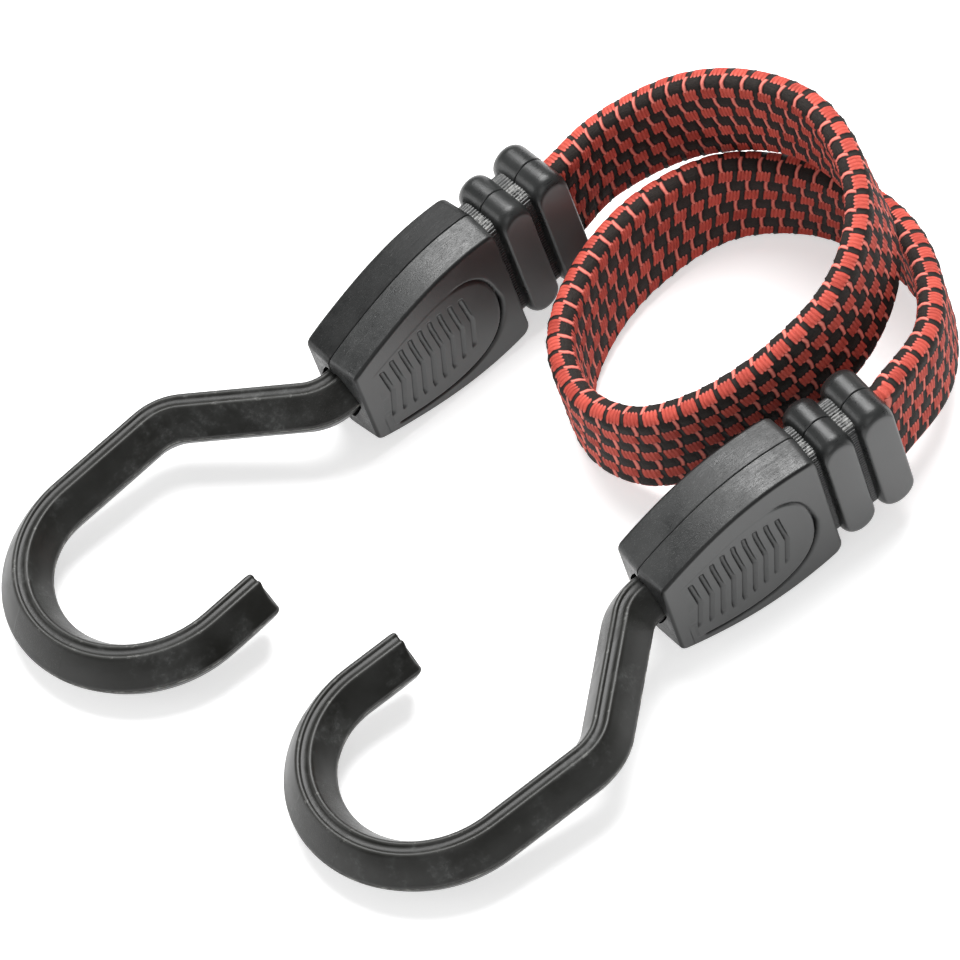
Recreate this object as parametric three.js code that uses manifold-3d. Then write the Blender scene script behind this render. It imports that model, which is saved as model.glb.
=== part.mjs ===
// Flat bungee cord: an elastic woven strap with a moulded, kinked hook at each end.
// Millimetres, +Z up. The cord lies on the plane z = 0, on its hooks, its housings and the lower
// edge of its strap. Each fitting has a frame of its own: +X runs from the housing's front face
// towards the hook, +Y across the housing to the near broad face, and +Z is up from its middle.
import * as THREE from "three";
import { mergeVertices } from "three/addons/utils/BufferGeometryUtils.js";
import Module from "manifold-3d";

const wasm = await Module();
wasm.setup();

// Clearances
const fitGap = 0.3;
const seamGap = 0.3;
const overrun = 1;

// Strap: a woven cover over five rubber strands, standing on its edge
const strapWidth = 20;
const strapThickness = 4.8;
const strapEdgeRadius = 2.1;
const coverWall = 0.8;
const strandCount = 5;
const strandDiameter = 2.5;
const strandPitch = 3.55;
const strandSides = 6;
const stepsBetweenPoints = 3;
const fineStepsBetweenPoints = 8;
const pointsToNextBand = 5;

// Hook bar: narrow flats above and below, widest at the parting line
const barWidth = 8.8;
const barDepth = 10.9;
const barFlatWidth = 2.6;
const barGrooveWidth = 1.3;
const barGrooveDepth = 0.3;
const barGrooveFloorShare = 0.5;
const barLandHeight = 1;
const tipEdge = 0.8;

// Hook line, from the housing's front face to the tip
const rootRun = 1;
const kinkAngle = THREE.MathUtils.degToRad(43.6);
const kinkRadius = 8;
const shankRun = 20.5;
const elbowRadius = 9.5;
const bowlRun = 18.1;
const bowlRadius = 19.5;
const tipRun = 9.5;
const kinkSteps = 4;
const bowlSteps = 17;

// Hook root inside the housing: a flat tongue with an eye for the pin
const eyeFromFront = 7.5;
const tongueHeight = 10;
const tongueThickness = 6;
const pinDiameter = 3;
const bossDiameter = 6;
const roundSides = 16;

// Housing: two half shells that meet on the seam of the narrow faces
const housingLength = 33;
const housingThickness = 13;
const housingFrontHeight = 17;
const housingRearHeight = 26.4;
const housingBulge = 2.9;
const housingDraft = 0.4;
const housingEdge = 0.8;
const housingEdgeShares = [[0, 0], [0.7, 0.3], [1, 1]];
const frontCorner = 0.8;
const rearCorner = 1.6;
const narrowWall = 1.2;
const broadWall = 1.5;
const frontWall = 2;
const rearLip = 2;
const rootClearance = 0.6;
const housingSideSteps = 9;
const housingCornerSteps = 3;

// Grip relief on each broad face: a raised pad with chevron slots
const padRise = 0.35;
const padFront = 3.8;
const padRear = 28.9;
const padFrontTopShare = 0.41;
const padFrontLowShare = -0.59;
const padRearShare = -0.04;
const padTopShares = [[0.45, 0.64], [0.99, 0.91]];
const padLowShares = [[1, -0.76], [0.52, -0.9]];
const slotCount = 9;
const slotPitch = 2.27;
const slotFirst = 4.9;
const slotWidth = 1;
const slotDepth = 0.65;
const slotKink = 1;
const slotTop = 4.9;
const slotLow = 5.9;
const slotArch = 1.5;
const padSteps = 10;
const slotSteps = 4;

// Collar behind the housing: a neck round the strap with two ribs, split like the housing
const neckWall = 0.9;
const neckCorner = 2.2;
const flangeLength = 3.5;
const ribStandoff = 1.2;
const ribGap = 1.2;
const ribWidths = [6.6, 7];
const ribHeight = 25.8;
const ribPanelHeight = 21.8;
const ribThickness = 12.8;
const ribCrown = 8.4;
const ribEdge = 0.5;
const ribCrownSteps = 3;
const ribEndSteps = 6;

// Metal clamp crimped round the strap's end
const clampLength = 11;
const clampWall = 0.9;
const clampCorner = 2.6;
const clampDentRadius = 1.3;
const clampDentDepth = 0.4;
const clampDentShares = [0.3, 0.7];
const clampDentSides = 12;
const clampCornerSteps = 3;
const strapBeyondClamp = 1.2;

// Where the fittings lie: the middle of each front face, its heading, and how far the hook dips
const frontFaceHeight = 12.08;
const dip = THREE.MathUtils.degToRad(5.7);
const leftEnd = { name: "left", x: 4.61, y: 34.58, heading: THREE.MathUtils.degToRad(183), kink: -1 };
const rightEnd = { name: "right", x: 15.06, y: -34.57, heading: THREE.MathUtils.degToRad(177), kink: 1 };

// The strap's way from the left collar to the right one: x, y and height of its middle, and how far
// its upper edge leans outwards in degrees. It passes over itself between the third and fifth points.
const route = [
  [64.1, 38.0, 18.6, -1],
  [76.4, 32.4, 23.6, -3],
  [84.8, 20.6, 29.4, -5],
  [88.4, 7.4, 32, -6],
  [86.1, -6.4, 31.9, -9],
  [79.0, -17.0, 30.0, -7],
  [67.7, -22.6, 26.8, -4],
  [54.7, -22.1, 22.4, -3],
  [42.2, -17.4, 17.3, 1],
  [33.1, -10.0, 13.2, 4],
  [30.6, 0.1, 10.8, 5],
  [35.7, 12.5, 10.1, 6],
  [48.0, 21.7, 10.1, 8],
  [63.4, 25.7, 10.1, 9],
  [77.7, 22.6, 10.1, 3],
  [88.1, 13.5, 10.3, -5],
  [92.6, -1, 11, -7],
  [90.1, -17.2, 13.4, -5],
  [78.4, -30.4, 15.4, -1],
];

// Sizes worked out from the ones above
const sideInner = housingThickness / 2 - broadWall;
const midWall = housingThickness / 2 - broadWall / 2;
const slotHalfThickness = strapThickness / 2 + fitGap;
const slotHalfHeight = strapWidth / 2 + fitGap;
const neckHalfHeight = slotHalfHeight + neckWall;
const neckHalfThickness = sideInner - fitGap;
const flangeRear = -(housingLength - rearLip - fitGap);
const flangeFront = flangeRear + flangeLength;
const clampRear = flangeFront + fitGap;
const clampFront = clampRear + clampLength;
const strapEndX = clampFront + strapBeyondClamp;
const ribFronts = [
  -(housingLength + ribStandoff),
  -(housingLength + ribStandoff + ribWidths[0] + ribGap),
];
const collarRear = ribFronts[1] - ribWidths[1];
const barStart = -(eyeFromFront - bossDiameter / 2 - fitGap);

// Half the housing's height at a distance behind its front face
function housingHalfHeight(x) {
  const along = -x / housingLength;
  const slope = (housingRearHeight - housingFrontHeight) / 2;
  return housingFrontHeight / 2 + slope * along + housingBulge * 4 * along * (1 - along);
}
const tallestShare = 1 / 2 + (housingRearHeight - housingFrontHeight) / (16 * housingBulge);
const tallestHalfHeight = housingHalfHeight(-housingLength * tallestShare);

const mouldedBlack = new THREE.MeshStandardMaterial({ color: 0x2c2d2e, roughness: 0.5, metalness: 0 });
const hookBlack = new THREE.MeshStandardMaterial({ color: 0x262625, roughness: 0.4, metalness: 0 });
const collarBlack = new THREE.MeshStandardMaterial({ color: 0x2b2c2c, roughness: 0.42, metalness: 0 });
const wovenRed = new THREE.MeshStandardMaterial({ color: 0x8f332c, roughness: 0.9, metalness: 0 });
const latex = new THREE.MeshStandardMaterial({ color: 0xb9a98c, roughness: 0.8, metalness: 0 });
const steel = new THREE.MeshStandardMaterial({ color: 0xa8a9ab, roughness: 0.35, metalness: 1 });

// Solids

// A solid through rings of as many points each, closed by a fan at both ends
function loft(rings) {
  const count = rings[0].length;
  const places = [];
  const faces = [];
  for (const ring of rings) {
    for (const point of ring) {
      places.push(point.x, point.y, point.z);
    }
  }
  for (let r = 0; r + 1 < rings.length; r++) {
    for (let i = 0; i < count; i++) {
      const a = r * count + i;
      const b = r * count + ((i + 1) % count);
      faces.push(a, b, b + count, a, b + count, a + count);
    }
  }
  for (const [ring, first] of [[rings[0], 0], [rings.at(-1), (rings.length - 1) * count]]) {
    const middle = new THREE.Vector3();
    for (const point of ring) {
      middle.addScaledVector(point, 1 / count);
    }
    const hub = places.length / 3;
    places.push(middle.x, middle.y, middle.z);
    for (let i = 0; i < count; i++) {
      const a = first + i;
      const b = first + ((i + 1) % count);
      if (first === 0) {
        faces.push(b, a, hub);
      } else {
        faces.push(a, b, hub);
      }
    }
  }
  return facingOut(places, faces);
}

// A tube through outer and inner rings, open at both ends
function openTube(outer, inner) {
  const count = outer[0].length;
  const last = outer.length - 1;
  const places = [];
  const faces = [];
  for (const ring of [...outer, ...inner]) {
    for (const point of ring) {
      places.push(point.x, point.y, point.z);
    }
  }
  const shift = outer.length * count;
  for (let r = 0; r < last; r++) {
    for (let i = 0; i < count; i++) {
      const a = r * count + i;
      const b = r * count + ((i + 1) % count);
      faces.push(a, b, b + count, a, b + count, a + count);
      faces.push(shift + b, shift + a, shift + a + count, shift + b, shift + a + count, shift + b + count);
    }
  }
  for (let i = 0; i < count; i++) {
    const next = (i + 1) % count;
    faces.push(next, i, shift + i, next, shift + i, shift + next);
    const a = last * count + i;
    const b = last * count + next;
    faces.push(a, b, shift + b, a, shift + b, shift + a);
  }
  return facingOut(places, faces);
}

// A geometry whose faces point out, whichever way its rings ran
function facingOut(places, faces) {
  const a = new THREE.Vector3();
  const b = new THREE.Vector3();
  const c = new THREE.Vector3();
  let volume = 0;
  for (let i = 0; i < faces.length; i += 3) {
    a.fromArray(places, faces[i] * 3);
    b.fromArray(places, faces[i + 1] * 3);
    c.fromArray(places, faces[i + 2] * 3);
    volume += a.dot(b.cross(c));
  }
  if (volume < 0) {
    for (let i = 0; i < faces.length; i += 3) {
      [faces[i], faces[i + 1]] = [faces[i + 1], faces[i]];
    }
  }
  const geometry = new THREE.BufferGeometry();
  geometry.setAttribute("position", new THREE.Float32BufferAttribute(places, 3));
  geometry.setIndex(faces);
  return geometry;
}

// A plate with its outline in X and Z, between two places across the housing
function plate(shape, yFrom, yTo, curveSegments) {
  const geometry = new THREE.ExtrudeGeometry(shape, { depth: yTo - yFrom, bevelEnabled: false, curveSegments });
  geometry.rotateX(Math.PI / 2);
  geometry.translate(0, yTo, 0);
  return geometry;
}

function box(xFrom, xTo, yFrom, yTo, zFrom, zTo) {
  const geometry = new THREE.BoxGeometry(xTo - xFrom, yTo - yFrom, zTo - zFrom);
  geometry.translate((xFrom + xTo) / 2, (yFrom + yTo) / 2, (zFrom + zTo) / 2);
  return geometry;
}

// A cylinder across the housing
function crossCylinder(x, diameter, yFrom, yTo) {
  const geometry = new THREE.CylinderGeometry(diameter / 2, diameter / 2, yTo - yFrom, roundSides);
  geometry.translate(x, (yFrom + yTo) / 2, 0);
  return geometry;
}

function toSolid(geometry) {
  const bare = geometry.clone();
  bare.deleteAttribute("normal");
  bare.deleteAttribute("uv");
  const merged = mergeVertices(bare);
  const mesh = new wasm.Mesh({
    numProp: 3,
    vertProperties: new Float32Array(merged.attributes.position.array),
    triVerts: new Uint32Array(merged.index.array),
  });
  return new wasm.Manifold(mesh);
}

function toGeometry(solid) {
  const mesh = solid.getMesh();
  const geometry = new THREE.BufferGeometry();
  geometry.setAttribute("position", new THREE.BufferAttribute(new Float32Array(mesh.vertProperties), 3));
  geometry.setIndex(new THREE.BufferAttribute(new Uint32Array(mesh.triVerts), 1));
  return geometry;
}

// The same geometry on the other side of the seam
function mirrored(geometry) {
  const places = Array.from(geometry.attributes.position.array);
  for (let i = 1; i < places.length; i += 3) {
    places[i] = -places[i];
  }
  return facingOut(places, Array.from(geometry.index.array));
}

// Corners of a rectangle with rounded corners, as [across, up]
function roundedSection(halfAcross, halfUp, radius, steps = 2) {
  const corners = [[1, 1, 0], [-1, 1, 1], [-1, -1, 2], [1, -1, 3]];
  const points = [];
  for (const [signAcross, signUp, quarter] of corners) {
    for (let k = 0; k <= steps; k++) {
      const angle = (quarter + k / steps) * Math.PI / 2;
      points.push([
        signAcross * (halfAcross - radius) + radius * Math.cos(angle),
        signUp * (halfUp - radius) + radius * Math.sin(angle),
      ]);
    }
  }
  return points;
}

// Hook

// Section of the bar as [across, up]
function barSection() {
  const halfDepth = barDepth / 2;
  const upper = [
    [barWidth / 2, barLandHeight / 2],
    [barFlatWidth / 2, halfDepth],
    [barGrooveWidth / 2, halfDepth],
    [barGrooveWidth / 2 * barGrooveFloorShare, halfDepth - barGrooveDepth],
  ];
  const quarter = [...upper];
  for (const [across, up] of [...upper].reverse()) {
    quarter.push([-across, up]);
  }
  const lower = [...quarter].reverse();
  return [...quarter, ...lower.map(([across, up]) => [across, -up])];
}

// Stations along the hook's line: place and heading on the middle plane
function hookLine(kink) {
  const line = [{ x: barStart, y: 0, heading: 0 }];
  function run(length) {
    const at = line.at(-1);
    const x = at.x + length * Math.cos(at.heading);
    const y = at.y + length * Math.sin(at.heading);
    line.push({ x, y, heading: at.heading });
  }
  function turn(radius, angle, steps) {
    const at = line.at(-1);
    const side = Math.sign(angle);
    const centreX = at.x - side * radius * Math.sin(at.heading);
    const centreY = at.y + side * radius * Math.cos(at.heading);
    for (let k = 1; k <= steps; k++) {
      const heading = at.heading + (angle * k) / steps;
      const x = centreX + side * radius * Math.sin(heading);
      const y = centreY - side * radius * Math.cos(heading);
      line.push({ x, y, heading });
    }
  }
  run(rootRun - barStart);
  turn(kinkRadius, kink * kinkAngle, kinkSteps);
  run(shankRun);
  turn(elbowRadius, -kink * kinkAngle, kinkSteps);
  run(bowlRun);
  turn(bowlRadius, -kink * Math.PI, bowlSteps);
  run(tipRun - tipEdge);
  run(tipEdge);
  return line;
}

function hookGeometry(kink) {
  const section = barSection();
  const line = hookLine(kink);
  const rings = line.map((at, index) => {
    const inset = index === line.length - 1 ? tipEdge : 0;
    const acrossScale = 1 - inset / (barWidth / 2);
    const upScale = 1 - inset / (barDepth / 2);
    return section.map(([across, up]) => new THREE.Vector3(
      at.x - across * acrossScale * Math.sin(at.heading),
      at.y + across * acrossScale * Math.cos(at.heading),
      up * upScale,
    ));
  });
  const tongue = new THREE.Shape();
  tongue.moveTo(barStart + fitGap, -tongueHeight / 2);
  tongue.lineTo(barStart + fitGap, tongueHeight / 2);
  tongue.lineTo(-eyeFromFront, tongueHeight / 2);
  tongue.absarc(-eyeFromFront, 0, tongueHeight / 2, Math.PI / 2, Math.PI * 1.5, false);
  const eye = crossCylinder(-eyeFromFront, pinDiameter + 2 * fitGap, -tongueThickness, tongueThickness);
  const root = toSolid(plate(tongue, -tongueThickness / 2, tongueThickness / 2, roundSides / 2));
  return toGeometry(toSolid(loft(rings)).add(root.subtract(toSolid(eye))));
}

function pinGeometry() {
  const halfLength = sideInner - fitGap;
  return crossCylinder(-eyeFromFront, pinDiameter, -halfLength, halfLength);
}

// Housing

// The side outline in X and Z between two places, set in from the outer surface
function housingOutline(front, rear, inset, frontRadius, rearRadius) {
  const upper = [];
  function corner(from, control, to) {
    const curve = new THREE.QuadraticBezierCurve(from, control, to);
    upper.push(...curve.getPoints(housingCornerSteps));
  }
  const height = (x) => housingHalfHeight(x) - inset;
  const frontInner = front - frontRadius;
  const rearInner = rear + rearRadius;
  corner(
    new THREE.Vector2(front, height(front) - frontRadius),
    new THREE.Vector2(front, height(front)),
    new THREE.Vector2(frontInner, height(frontInner)),
  );
  for (let k = 1; k < housingSideSteps; k++) {
    const x = THREE.MathUtils.lerp(frontInner, rearInner, k / housingSideSteps);
    upper.push(new THREE.Vector2(x, height(x)));
  }
  corner(
    new THREE.Vector2(rearInner, height(rearInner)),
    new THREE.Vector2(rear, height(rear)),
    new THREE.Vector2(rear, height(rear) - rearRadius),
  );
  const lower = [...upper].reverse().map((point) => new THREE.Vector2(point.x, -point.y));
  return [...upper, ...lower];
}

function ringAcross(outline, y) {
  return outline.map((point) => new THREE.Vector3(point.x, y, point.y));
}

function outerHalfShell() {
  const half = housingThickness / 2;
  const levels = [[seamGap / 2, 0]];
  for (const [outShare, insetShare] of housingEdgeShares) {
    levels.push([half - housingEdge * (1 - outShare), housingDraft + housingEdge * insetShare]);
  }
  const rings = levels.map(([y, inset]) => (
    ringAcross(housingOutline(-inset, -housingLength + inset, inset, frontCorner, rearCorner), y)
  ));
  return toSolid(loft(rings));
}

// The raised pad's outline, as shares of its length and of the housing's greatest half height
function padShape() {
  const length = padRear - padFront;
  const at = ([along, up]) => [-(padFront + length * along), up * tallestHalfHeight];
  const shape = new THREE.Shape();
  shape.moveTo(...at([0, padFrontLowShare]));
  shape.lineTo(...at([0, padFrontTopShare]));
  shape.bezierCurveTo(...at(padTopShares[0]), ...at(padTopShares[1]), ...at([1, padRearShare]));
  shape.bezierCurveTo(...at(padLowShares[0]), ...at(padLowShares[1]), ...at([0, padFrontLowShare]));
  return shape;
}

// One chevron slot: its ends lean forwards from the bend, and its upper end is round
function slotShape(index) {
  const along = index / (slotCount - 1);
  const arch = slotArch * 4 * along * (1 - along);
  const bendX = -(slotFirst + slotKink + slotPitch * index);
  const endX = bendX + slotKink;
  const half = slotWidth / 2;
  const top = slotTop + arch;
  const low = -(slotLow + arch);
  const shape = new THREE.Shape();
  shape.moveTo(endX + half, low);
  shape.lineTo(bendX + half, 0);
  shape.lineTo(endX + half, top);
  shape.absarc(endX, top, half, 0, Math.PI, false);
  shape.lineTo(bendX - half, 0);
  shape.lineTo(endX - half, low);
  return shape;
}

function housingHalfGeometry() {
  const half = housingThickness / 2;
  const surface = half + padRise;
  const cavityFront = -frontWall;
  const cavityRear = -(housingLength - rearLip);
  const cavity = housingOutline(cavityFront, cavityRear, narrowWall, frontCorner, frontCorner);
  const rootHalfHeight = barDepth / 2 + rootClearance;
  const bossInner = tongueThickness / 2 + fitGap;
  const neckTop = neckHalfHeight + fitGap;
  const frontWindow = box(cavityFront - overrun, overrun, -overrun, sideInner, -rootHalfHeight, rootHalfHeight);
  const rearFace = -housingLength - overrun;
  const rearWindow = box(rearFace, cavityRear + overrun, -overrun, sideInner, -neckTop, neckTop);
  let shell = outerHalfShell().add(toSolid(plate(padShape(), midWall, surface, padSteps)));
  shell = shell.subtract(toSolid(loft([ringAcross(cavity, -overrun), ringAcross(cavity, sideInner)])));
  shell = shell.subtract(toSolid(frontWindow)).subtract(toSolid(rearWindow));
  shell = shell.add(toSolid(crossCylinder(-eyeFromFront, bossDiameter, bossInner, midWall)));
  shell = shell.subtract(toSolid(crossCylinder(-eyeFromFront, pinDiameter + 2 * fitGap, -overrun, sideInner)));
  for (let i = 0; i < slotCount; i++) {
    shell = shell.subtract(toSolid(plate(slotShape(i), surface - slotDepth, surface + overrun, slotSteps)));
  }
  return toGeometry(shell);
}

// Collar

// A rib: rounded ends above and below, flat panels on the broad sides, a crown across the top
function ribSolid(frontX, width) {
  const middleX = frontX - width / 2;
  const quarter = [];
  for (let k = 0; k <= ribCrownSteps; k++) {
    const angle = (k / ribCrownSteps) * Math.PI / 2;
    quarter.push({
      y: ribCrown / 2 + ((ribThickness - ribCrown) / 2) * Math.sin(angle),
      halfHeight: ribPanelHeight / 2 + ((ribHeight - ribPanelHeight) / 2) * Math.cos(angle),
      halfWidth: width / 2 - ribEdge * (1 - Math.cos(angle)),
    });
  }
  const levels = [...[...quarter].reverse().map((level) => ({ ...level, y: -level.y })), ...quarter];
  return toSolid(loft(levels.map(({ y, halfHeight, halfWidth }) => {
    const ring = [];
    for (const sign of [1, -1]) {
      for (let k = 0; k <= ribEndSteps; k++) {
        const angle = (k / ribEndSteps) * Math.PI;
        const x = middleX + sign * halfWidth * Math.cos(angle);
        ring.push(new THREE.Vector3(x, y, sign * (halfHeight - halfWidth + halfWidth * Math.sin(angle))));
      }
    }
    return ring;
  })));
}

function tubeAlong(section, xFrom, xTo) {
  return loft([xFrom, xTo].map((x) => section.map(([across, up]) => new THREE.Vector3(x, across, up))));
}

function collarHalfGeometry() {
  const flangeHalfHeight = housingHalfHeight(flangeRear) - narrowWall - fitGap;
  const neck = roundedSection(neckHalfThickness, neckHalfHeight, neckCorner);
  const flange = roundedSection(neckHalfThickness, flangeHalfHeight, neckCorner);
  let collar = toSolid(tubeAlong(neck, flangeRear, collarRear + ribEdge));
  collar = collar.add(toSolid(tubeAlong(flange, flangeFront, flangeRear)));
  ribFronts.forEach((frontX, index) => {
    collar = collar.add(ribSolid(frontX, ribWidths[index]));
  });
  const slot = box(
    collarRear - overrun, flangeFront + overrun,
    -slotHalfThickness, slotHalfThickness, -slotHalfHeight, slotHalfHeight,
  );
  const nearSide = box(
    collarRear - overrun, flangeFront + overrun,
    seamGap / 2, housingThickness, -housingRearHeight, housingRearHeight,
  );
  return toGeometry(collar.subtract(toSolid(slot)).intersect(toSolid(nearSide)));
}

// Clamp

function clampGeometry() {
  const halfThickness = slotHalfThickness + clampWall;
  const halfHeight = slotHalfHeight + clampWall;
  const outer = roundedSection(halfThickness, halfHeight, clampCorner, clampCornerSteps);
  const innerCorner = clampCorner - clampWall;
  const inner = roundedSection(slotHalfThickness, slotHalfHeight, innerCorner, clampCornerSteps);
  let clamp = toSolid(tubeAlong(outer, clampFront, clampRear));
  clamp = clamp.subtract(toSolid(tubeAlong(inner, clampFront + overrun, clampRear - overrun)));
  for (const share of clampDentShares) {
    for (const side of [1, -1]) {
      const dent = new THREE.CylinderGeometry(clampDentRadius, clampDentRadius, strapWidth, clampDentSides);
      dent.rotateX(Math.PI / 2);
      const y = side * (halfThickness + clampDentRadius - clampDentDepth);
      dent.translate(THREE.MathUtils.lerp(clampFront, clampRear, share), y, 0);
      clamp = clamp.subtract(toSolid(dent));
    }
  }
  return toGeometry(clamp);
}

// Strap

// A place on the axis of a fitting, in the cord's frame
function onAxis(end, x) {
  return new THREE.Vector3(
    end.x + x * Math.cos(dip) * Math.cos(end.heading),
    end.y + x * Math.cos(dip) * Math.sin(end.heading),
    frontFaceHeight - x * Math.sin(dip),
  );
}

// Middle, side and up direction of the strap at every step, from one clamp to the other
function strapStations(stepsPerPoint) {
  const inner = route.map(([x, y, z]) => new THREE.Vector3(x, y, z));
  const points = [onAxis(leftEnd, collarRear), ...inner, onAxis(rightEnd, collarRear)];
  const leans = [0, ...route.map((row) => THREE.MathUtils.degToRad(row[3])), 0];
  const curve = new THREE.CatmullRomCurve3(points, false, "centripetal");
  const stations = [];
  function station(point, tangent, lean) {
    const side = new THREE.Vector3(-tangent.y, tangent.x, 0).normalize();
    const up = new THREE.Vector3().crossVectors(tangent, side).normalize();
    stations.push({
      point,
      side: side.clone().multiplyScalar(Math.cos(lean)).addScaledVector(up, -Math.sin(lean)),
      up: up.clone().multiplyScalar(Math.cos(lean)).addScaledVector(side, Math.sin(lean)),
    });
  }
  const outOfLeft = onAxis(leftEnd, collarRear).sub(onAxis(leftEnd, 0)).normalize();
  const intoRight = onAxis(rightEnd, 0).sub(onAxis(rightEnd, collarRear)).normalize();
  station(onAxis(leftEnd, strapEndX), outOfLeft, 0);
  station(onAxis(leftEnd, collarRear), outOfLeft, 0);
  const steps = (points.length - 1) * stepsPerPoint;
  for (let k = 1; k < steps; k++) {
    const before = Math.floor(k / stepsPerPoint);
    const between = k / stepsPerPoint - before;
    const lean = THREE.MathUtils.lerp(leans[before], leans[before + 1] ?? 0, between);
    station(curve.getPoint(k / steps), curve.getTangent(k / steps), lean);
  }
  station(onAxis(rightEnd, collarRear), intoRight, 0);
  station(onAxis(rightEnd, strapEndX), intoRight, 0);
  return stations;
}

// Rings of a section, given as [across, up], at every station
function ringsAlong(stations, section) {
  return stations.map(({ point, side, up }) => section.map(([across, along]) => (
    point.clone().addScaledVector(side, across).addScaledVector(up, along)
  )));
}

const coverSection = roundedSection(strapThickness / 2, strapWidth / 2, strapEdgeRadius);
const coverInnerSection = roundedSection(
  strapThickness / 2 - coverWall,
  strapWidth / 2 - coverWall,
  strapEdgeRadius - coverWall,
);

function strandSection(index) {
  const middle = (index - (strandCount - 1) / 2) * strandPitch;
  const points = [];
  for (let k = 0; k < strandSides; k++) {
    const angle = (k / strandSides) * 2 * Math.PI;
    const radius = strandDiameter / 2;
    points.push([radius * Math.cos(angle), middle + radius * Math.sin(angle)]);
  }
  return points;
}

// The least gap of the strap to itself where it passes over, from points along its outside
function leastGapToItself() {
  const rings = ringsAlong(strapStations(fineStepsBetweenPoints), coverSection);
  const apart = pointsToNextBand * fineStepsBetweenPoints;
  let least = Infinity;
  for (let i = 0; i < rings.length; i++) {
    for (let j = i + apart; j < rings.length; j++) {
      for (const a of rings[i]) {
        for (const b of rings[j]) {
          least = Math.min(least, a.distanceToSquared(b));
        }
      }
    }
  }
  return Math.sqrt(least);
}
console.log(`Least gap of the strap to itself: ${leastGapToItself().toFixed(2)} mm`);

// Assembly

const cord = new THREE.Group();

function add(parent, name, geometry, material) {
  const mesh = new THREE.Mesh(geometry, material);
  mesh.name = name;
  parent.add(mesh);
}

const housingNear = housingHalfGeometry();
const collarNear = collarHalfGeometry();
for (const end of [leftEnd, rightEnd]) {
  const fitting = new THREE.Group();
  fitting.position.set(end.x, end.y, frontFaceHeight);
  fitting.rotation.set(0, dip, end.heading, "ZYX");
  add(fitting, `${end.name}_hook`, hookGeometry(end.kink), hookBlack);
  add(fitting, `${end.name}_hook_pin`, pinGeometry(), steel);
  add(fitting, `${end.name}_housing_near`, housingNear, mouldedBlack);
  add(fitting, `${end.name}_housing_far`, mirrored(housingNear), mouldedBlack);
  add(fitting, `${end.name}_collar_near`, collarNear, collarBlack);
  add(fitting, `${end.name}_collar_far`, mirrored(collarNear), collarBlack);
  add(fitting, `${end.name}_strap_clamp`, clampGeometry(), steel);
  cord.add(fitting);
}

const stations = strapStations(stepsBetweenPoints);
add(
  cord,
  "strap_cover",
  openTube(ringsAlong(stations, coverSection), ringsAlong(stations, coverInnerSection)),
  wovenRed,
);
for (let i = 0; i < strandCount; i++) {
  add(cord, `strap_strand_${i + 1}`, loft(ringsAlong(stations, strandSection(i))), latex);
}

export default cord;
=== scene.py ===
"""Dresses the bungee cord: the woven strap, its two hooks, housings and collars, and the stage.

Sizes here are in millimetres unless a name says otherwise, and pieces are scaled to metres once,
when they are laid in their place. A fitting's own frame has +X from the housing's front face
towards the hook, +Y across to the broad face that the camera sees, and +Z up.
"""

import math

import bmesh
import bpy
import numpy as np
from mathutils import Matrix, Vector


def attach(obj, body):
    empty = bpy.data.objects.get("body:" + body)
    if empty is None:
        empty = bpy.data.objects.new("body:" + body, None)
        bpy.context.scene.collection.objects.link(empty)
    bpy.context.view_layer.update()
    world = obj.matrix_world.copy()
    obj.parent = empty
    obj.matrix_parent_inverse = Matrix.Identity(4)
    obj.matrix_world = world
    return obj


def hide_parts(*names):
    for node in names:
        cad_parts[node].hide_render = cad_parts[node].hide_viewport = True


bl_info = {
    "name": "Bungee Cord",
    "version": (1, 0, 0),
    "blender": (4, 5, 0),
    "location": "View3D > Sidebar > Bungee Cord",
    "description": "Builds a flat bungee cord with a moulded hook at each end",
    "category": "Add Mesh",
}

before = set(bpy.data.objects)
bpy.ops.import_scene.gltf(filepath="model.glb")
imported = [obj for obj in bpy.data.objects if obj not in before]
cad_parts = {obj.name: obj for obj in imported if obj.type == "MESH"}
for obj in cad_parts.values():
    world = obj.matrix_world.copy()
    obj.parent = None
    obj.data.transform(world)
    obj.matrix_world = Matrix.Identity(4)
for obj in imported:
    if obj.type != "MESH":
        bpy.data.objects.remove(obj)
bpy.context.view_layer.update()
MM = 0.001

# Where the fittings lie, as in the part's source
FRONT_FACE_HEIGHT = 12.08
DIP = math.radians(5.7)

# How the two fittings differ. A hook is bent to the side that kink gives and turned a little on its
# pin by hook_play. A fitting is rolled on its axis, swells and lifts towards its collar, and its housing
# and its collar reach back by their own amounts. Offset shifts the marks in the plastic, sunk is how
# deep the rolled housing would lie in the floor, and the last number is the share of painted shade
# laid all over the far half of the housing, for the shade that lies on it.
ENDS = {
    "left": {
        "x": 4.61, "y": 34.58, "heading": math.radians(183), "kink": -1, "offset": 0.0,
        "hook_play": math.radians(0.25), "roll": math.radians(3.0), "swell": 0.065, "collar_lift": 0.5,
        "housing_reach": 0.7, "collar_reach": 0.6, "sunk": 0.80, "shaded_far_half": 0.5,
    },
    "right": {
        "x": 15.06, "y": -34.57, "heading": math.radians(177), "kink": 1, "offset": 120.0,
        "hook_play": math.radians(1.1), "roll": math.radians(0.6), "swell": 0.0, "collar_lift": 0.0,
        "housing_reach": 0.0, "collar_reach": -0.35, "sunk": 0.46, "shaded_far_half": 0.0,
    },
}

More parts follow.
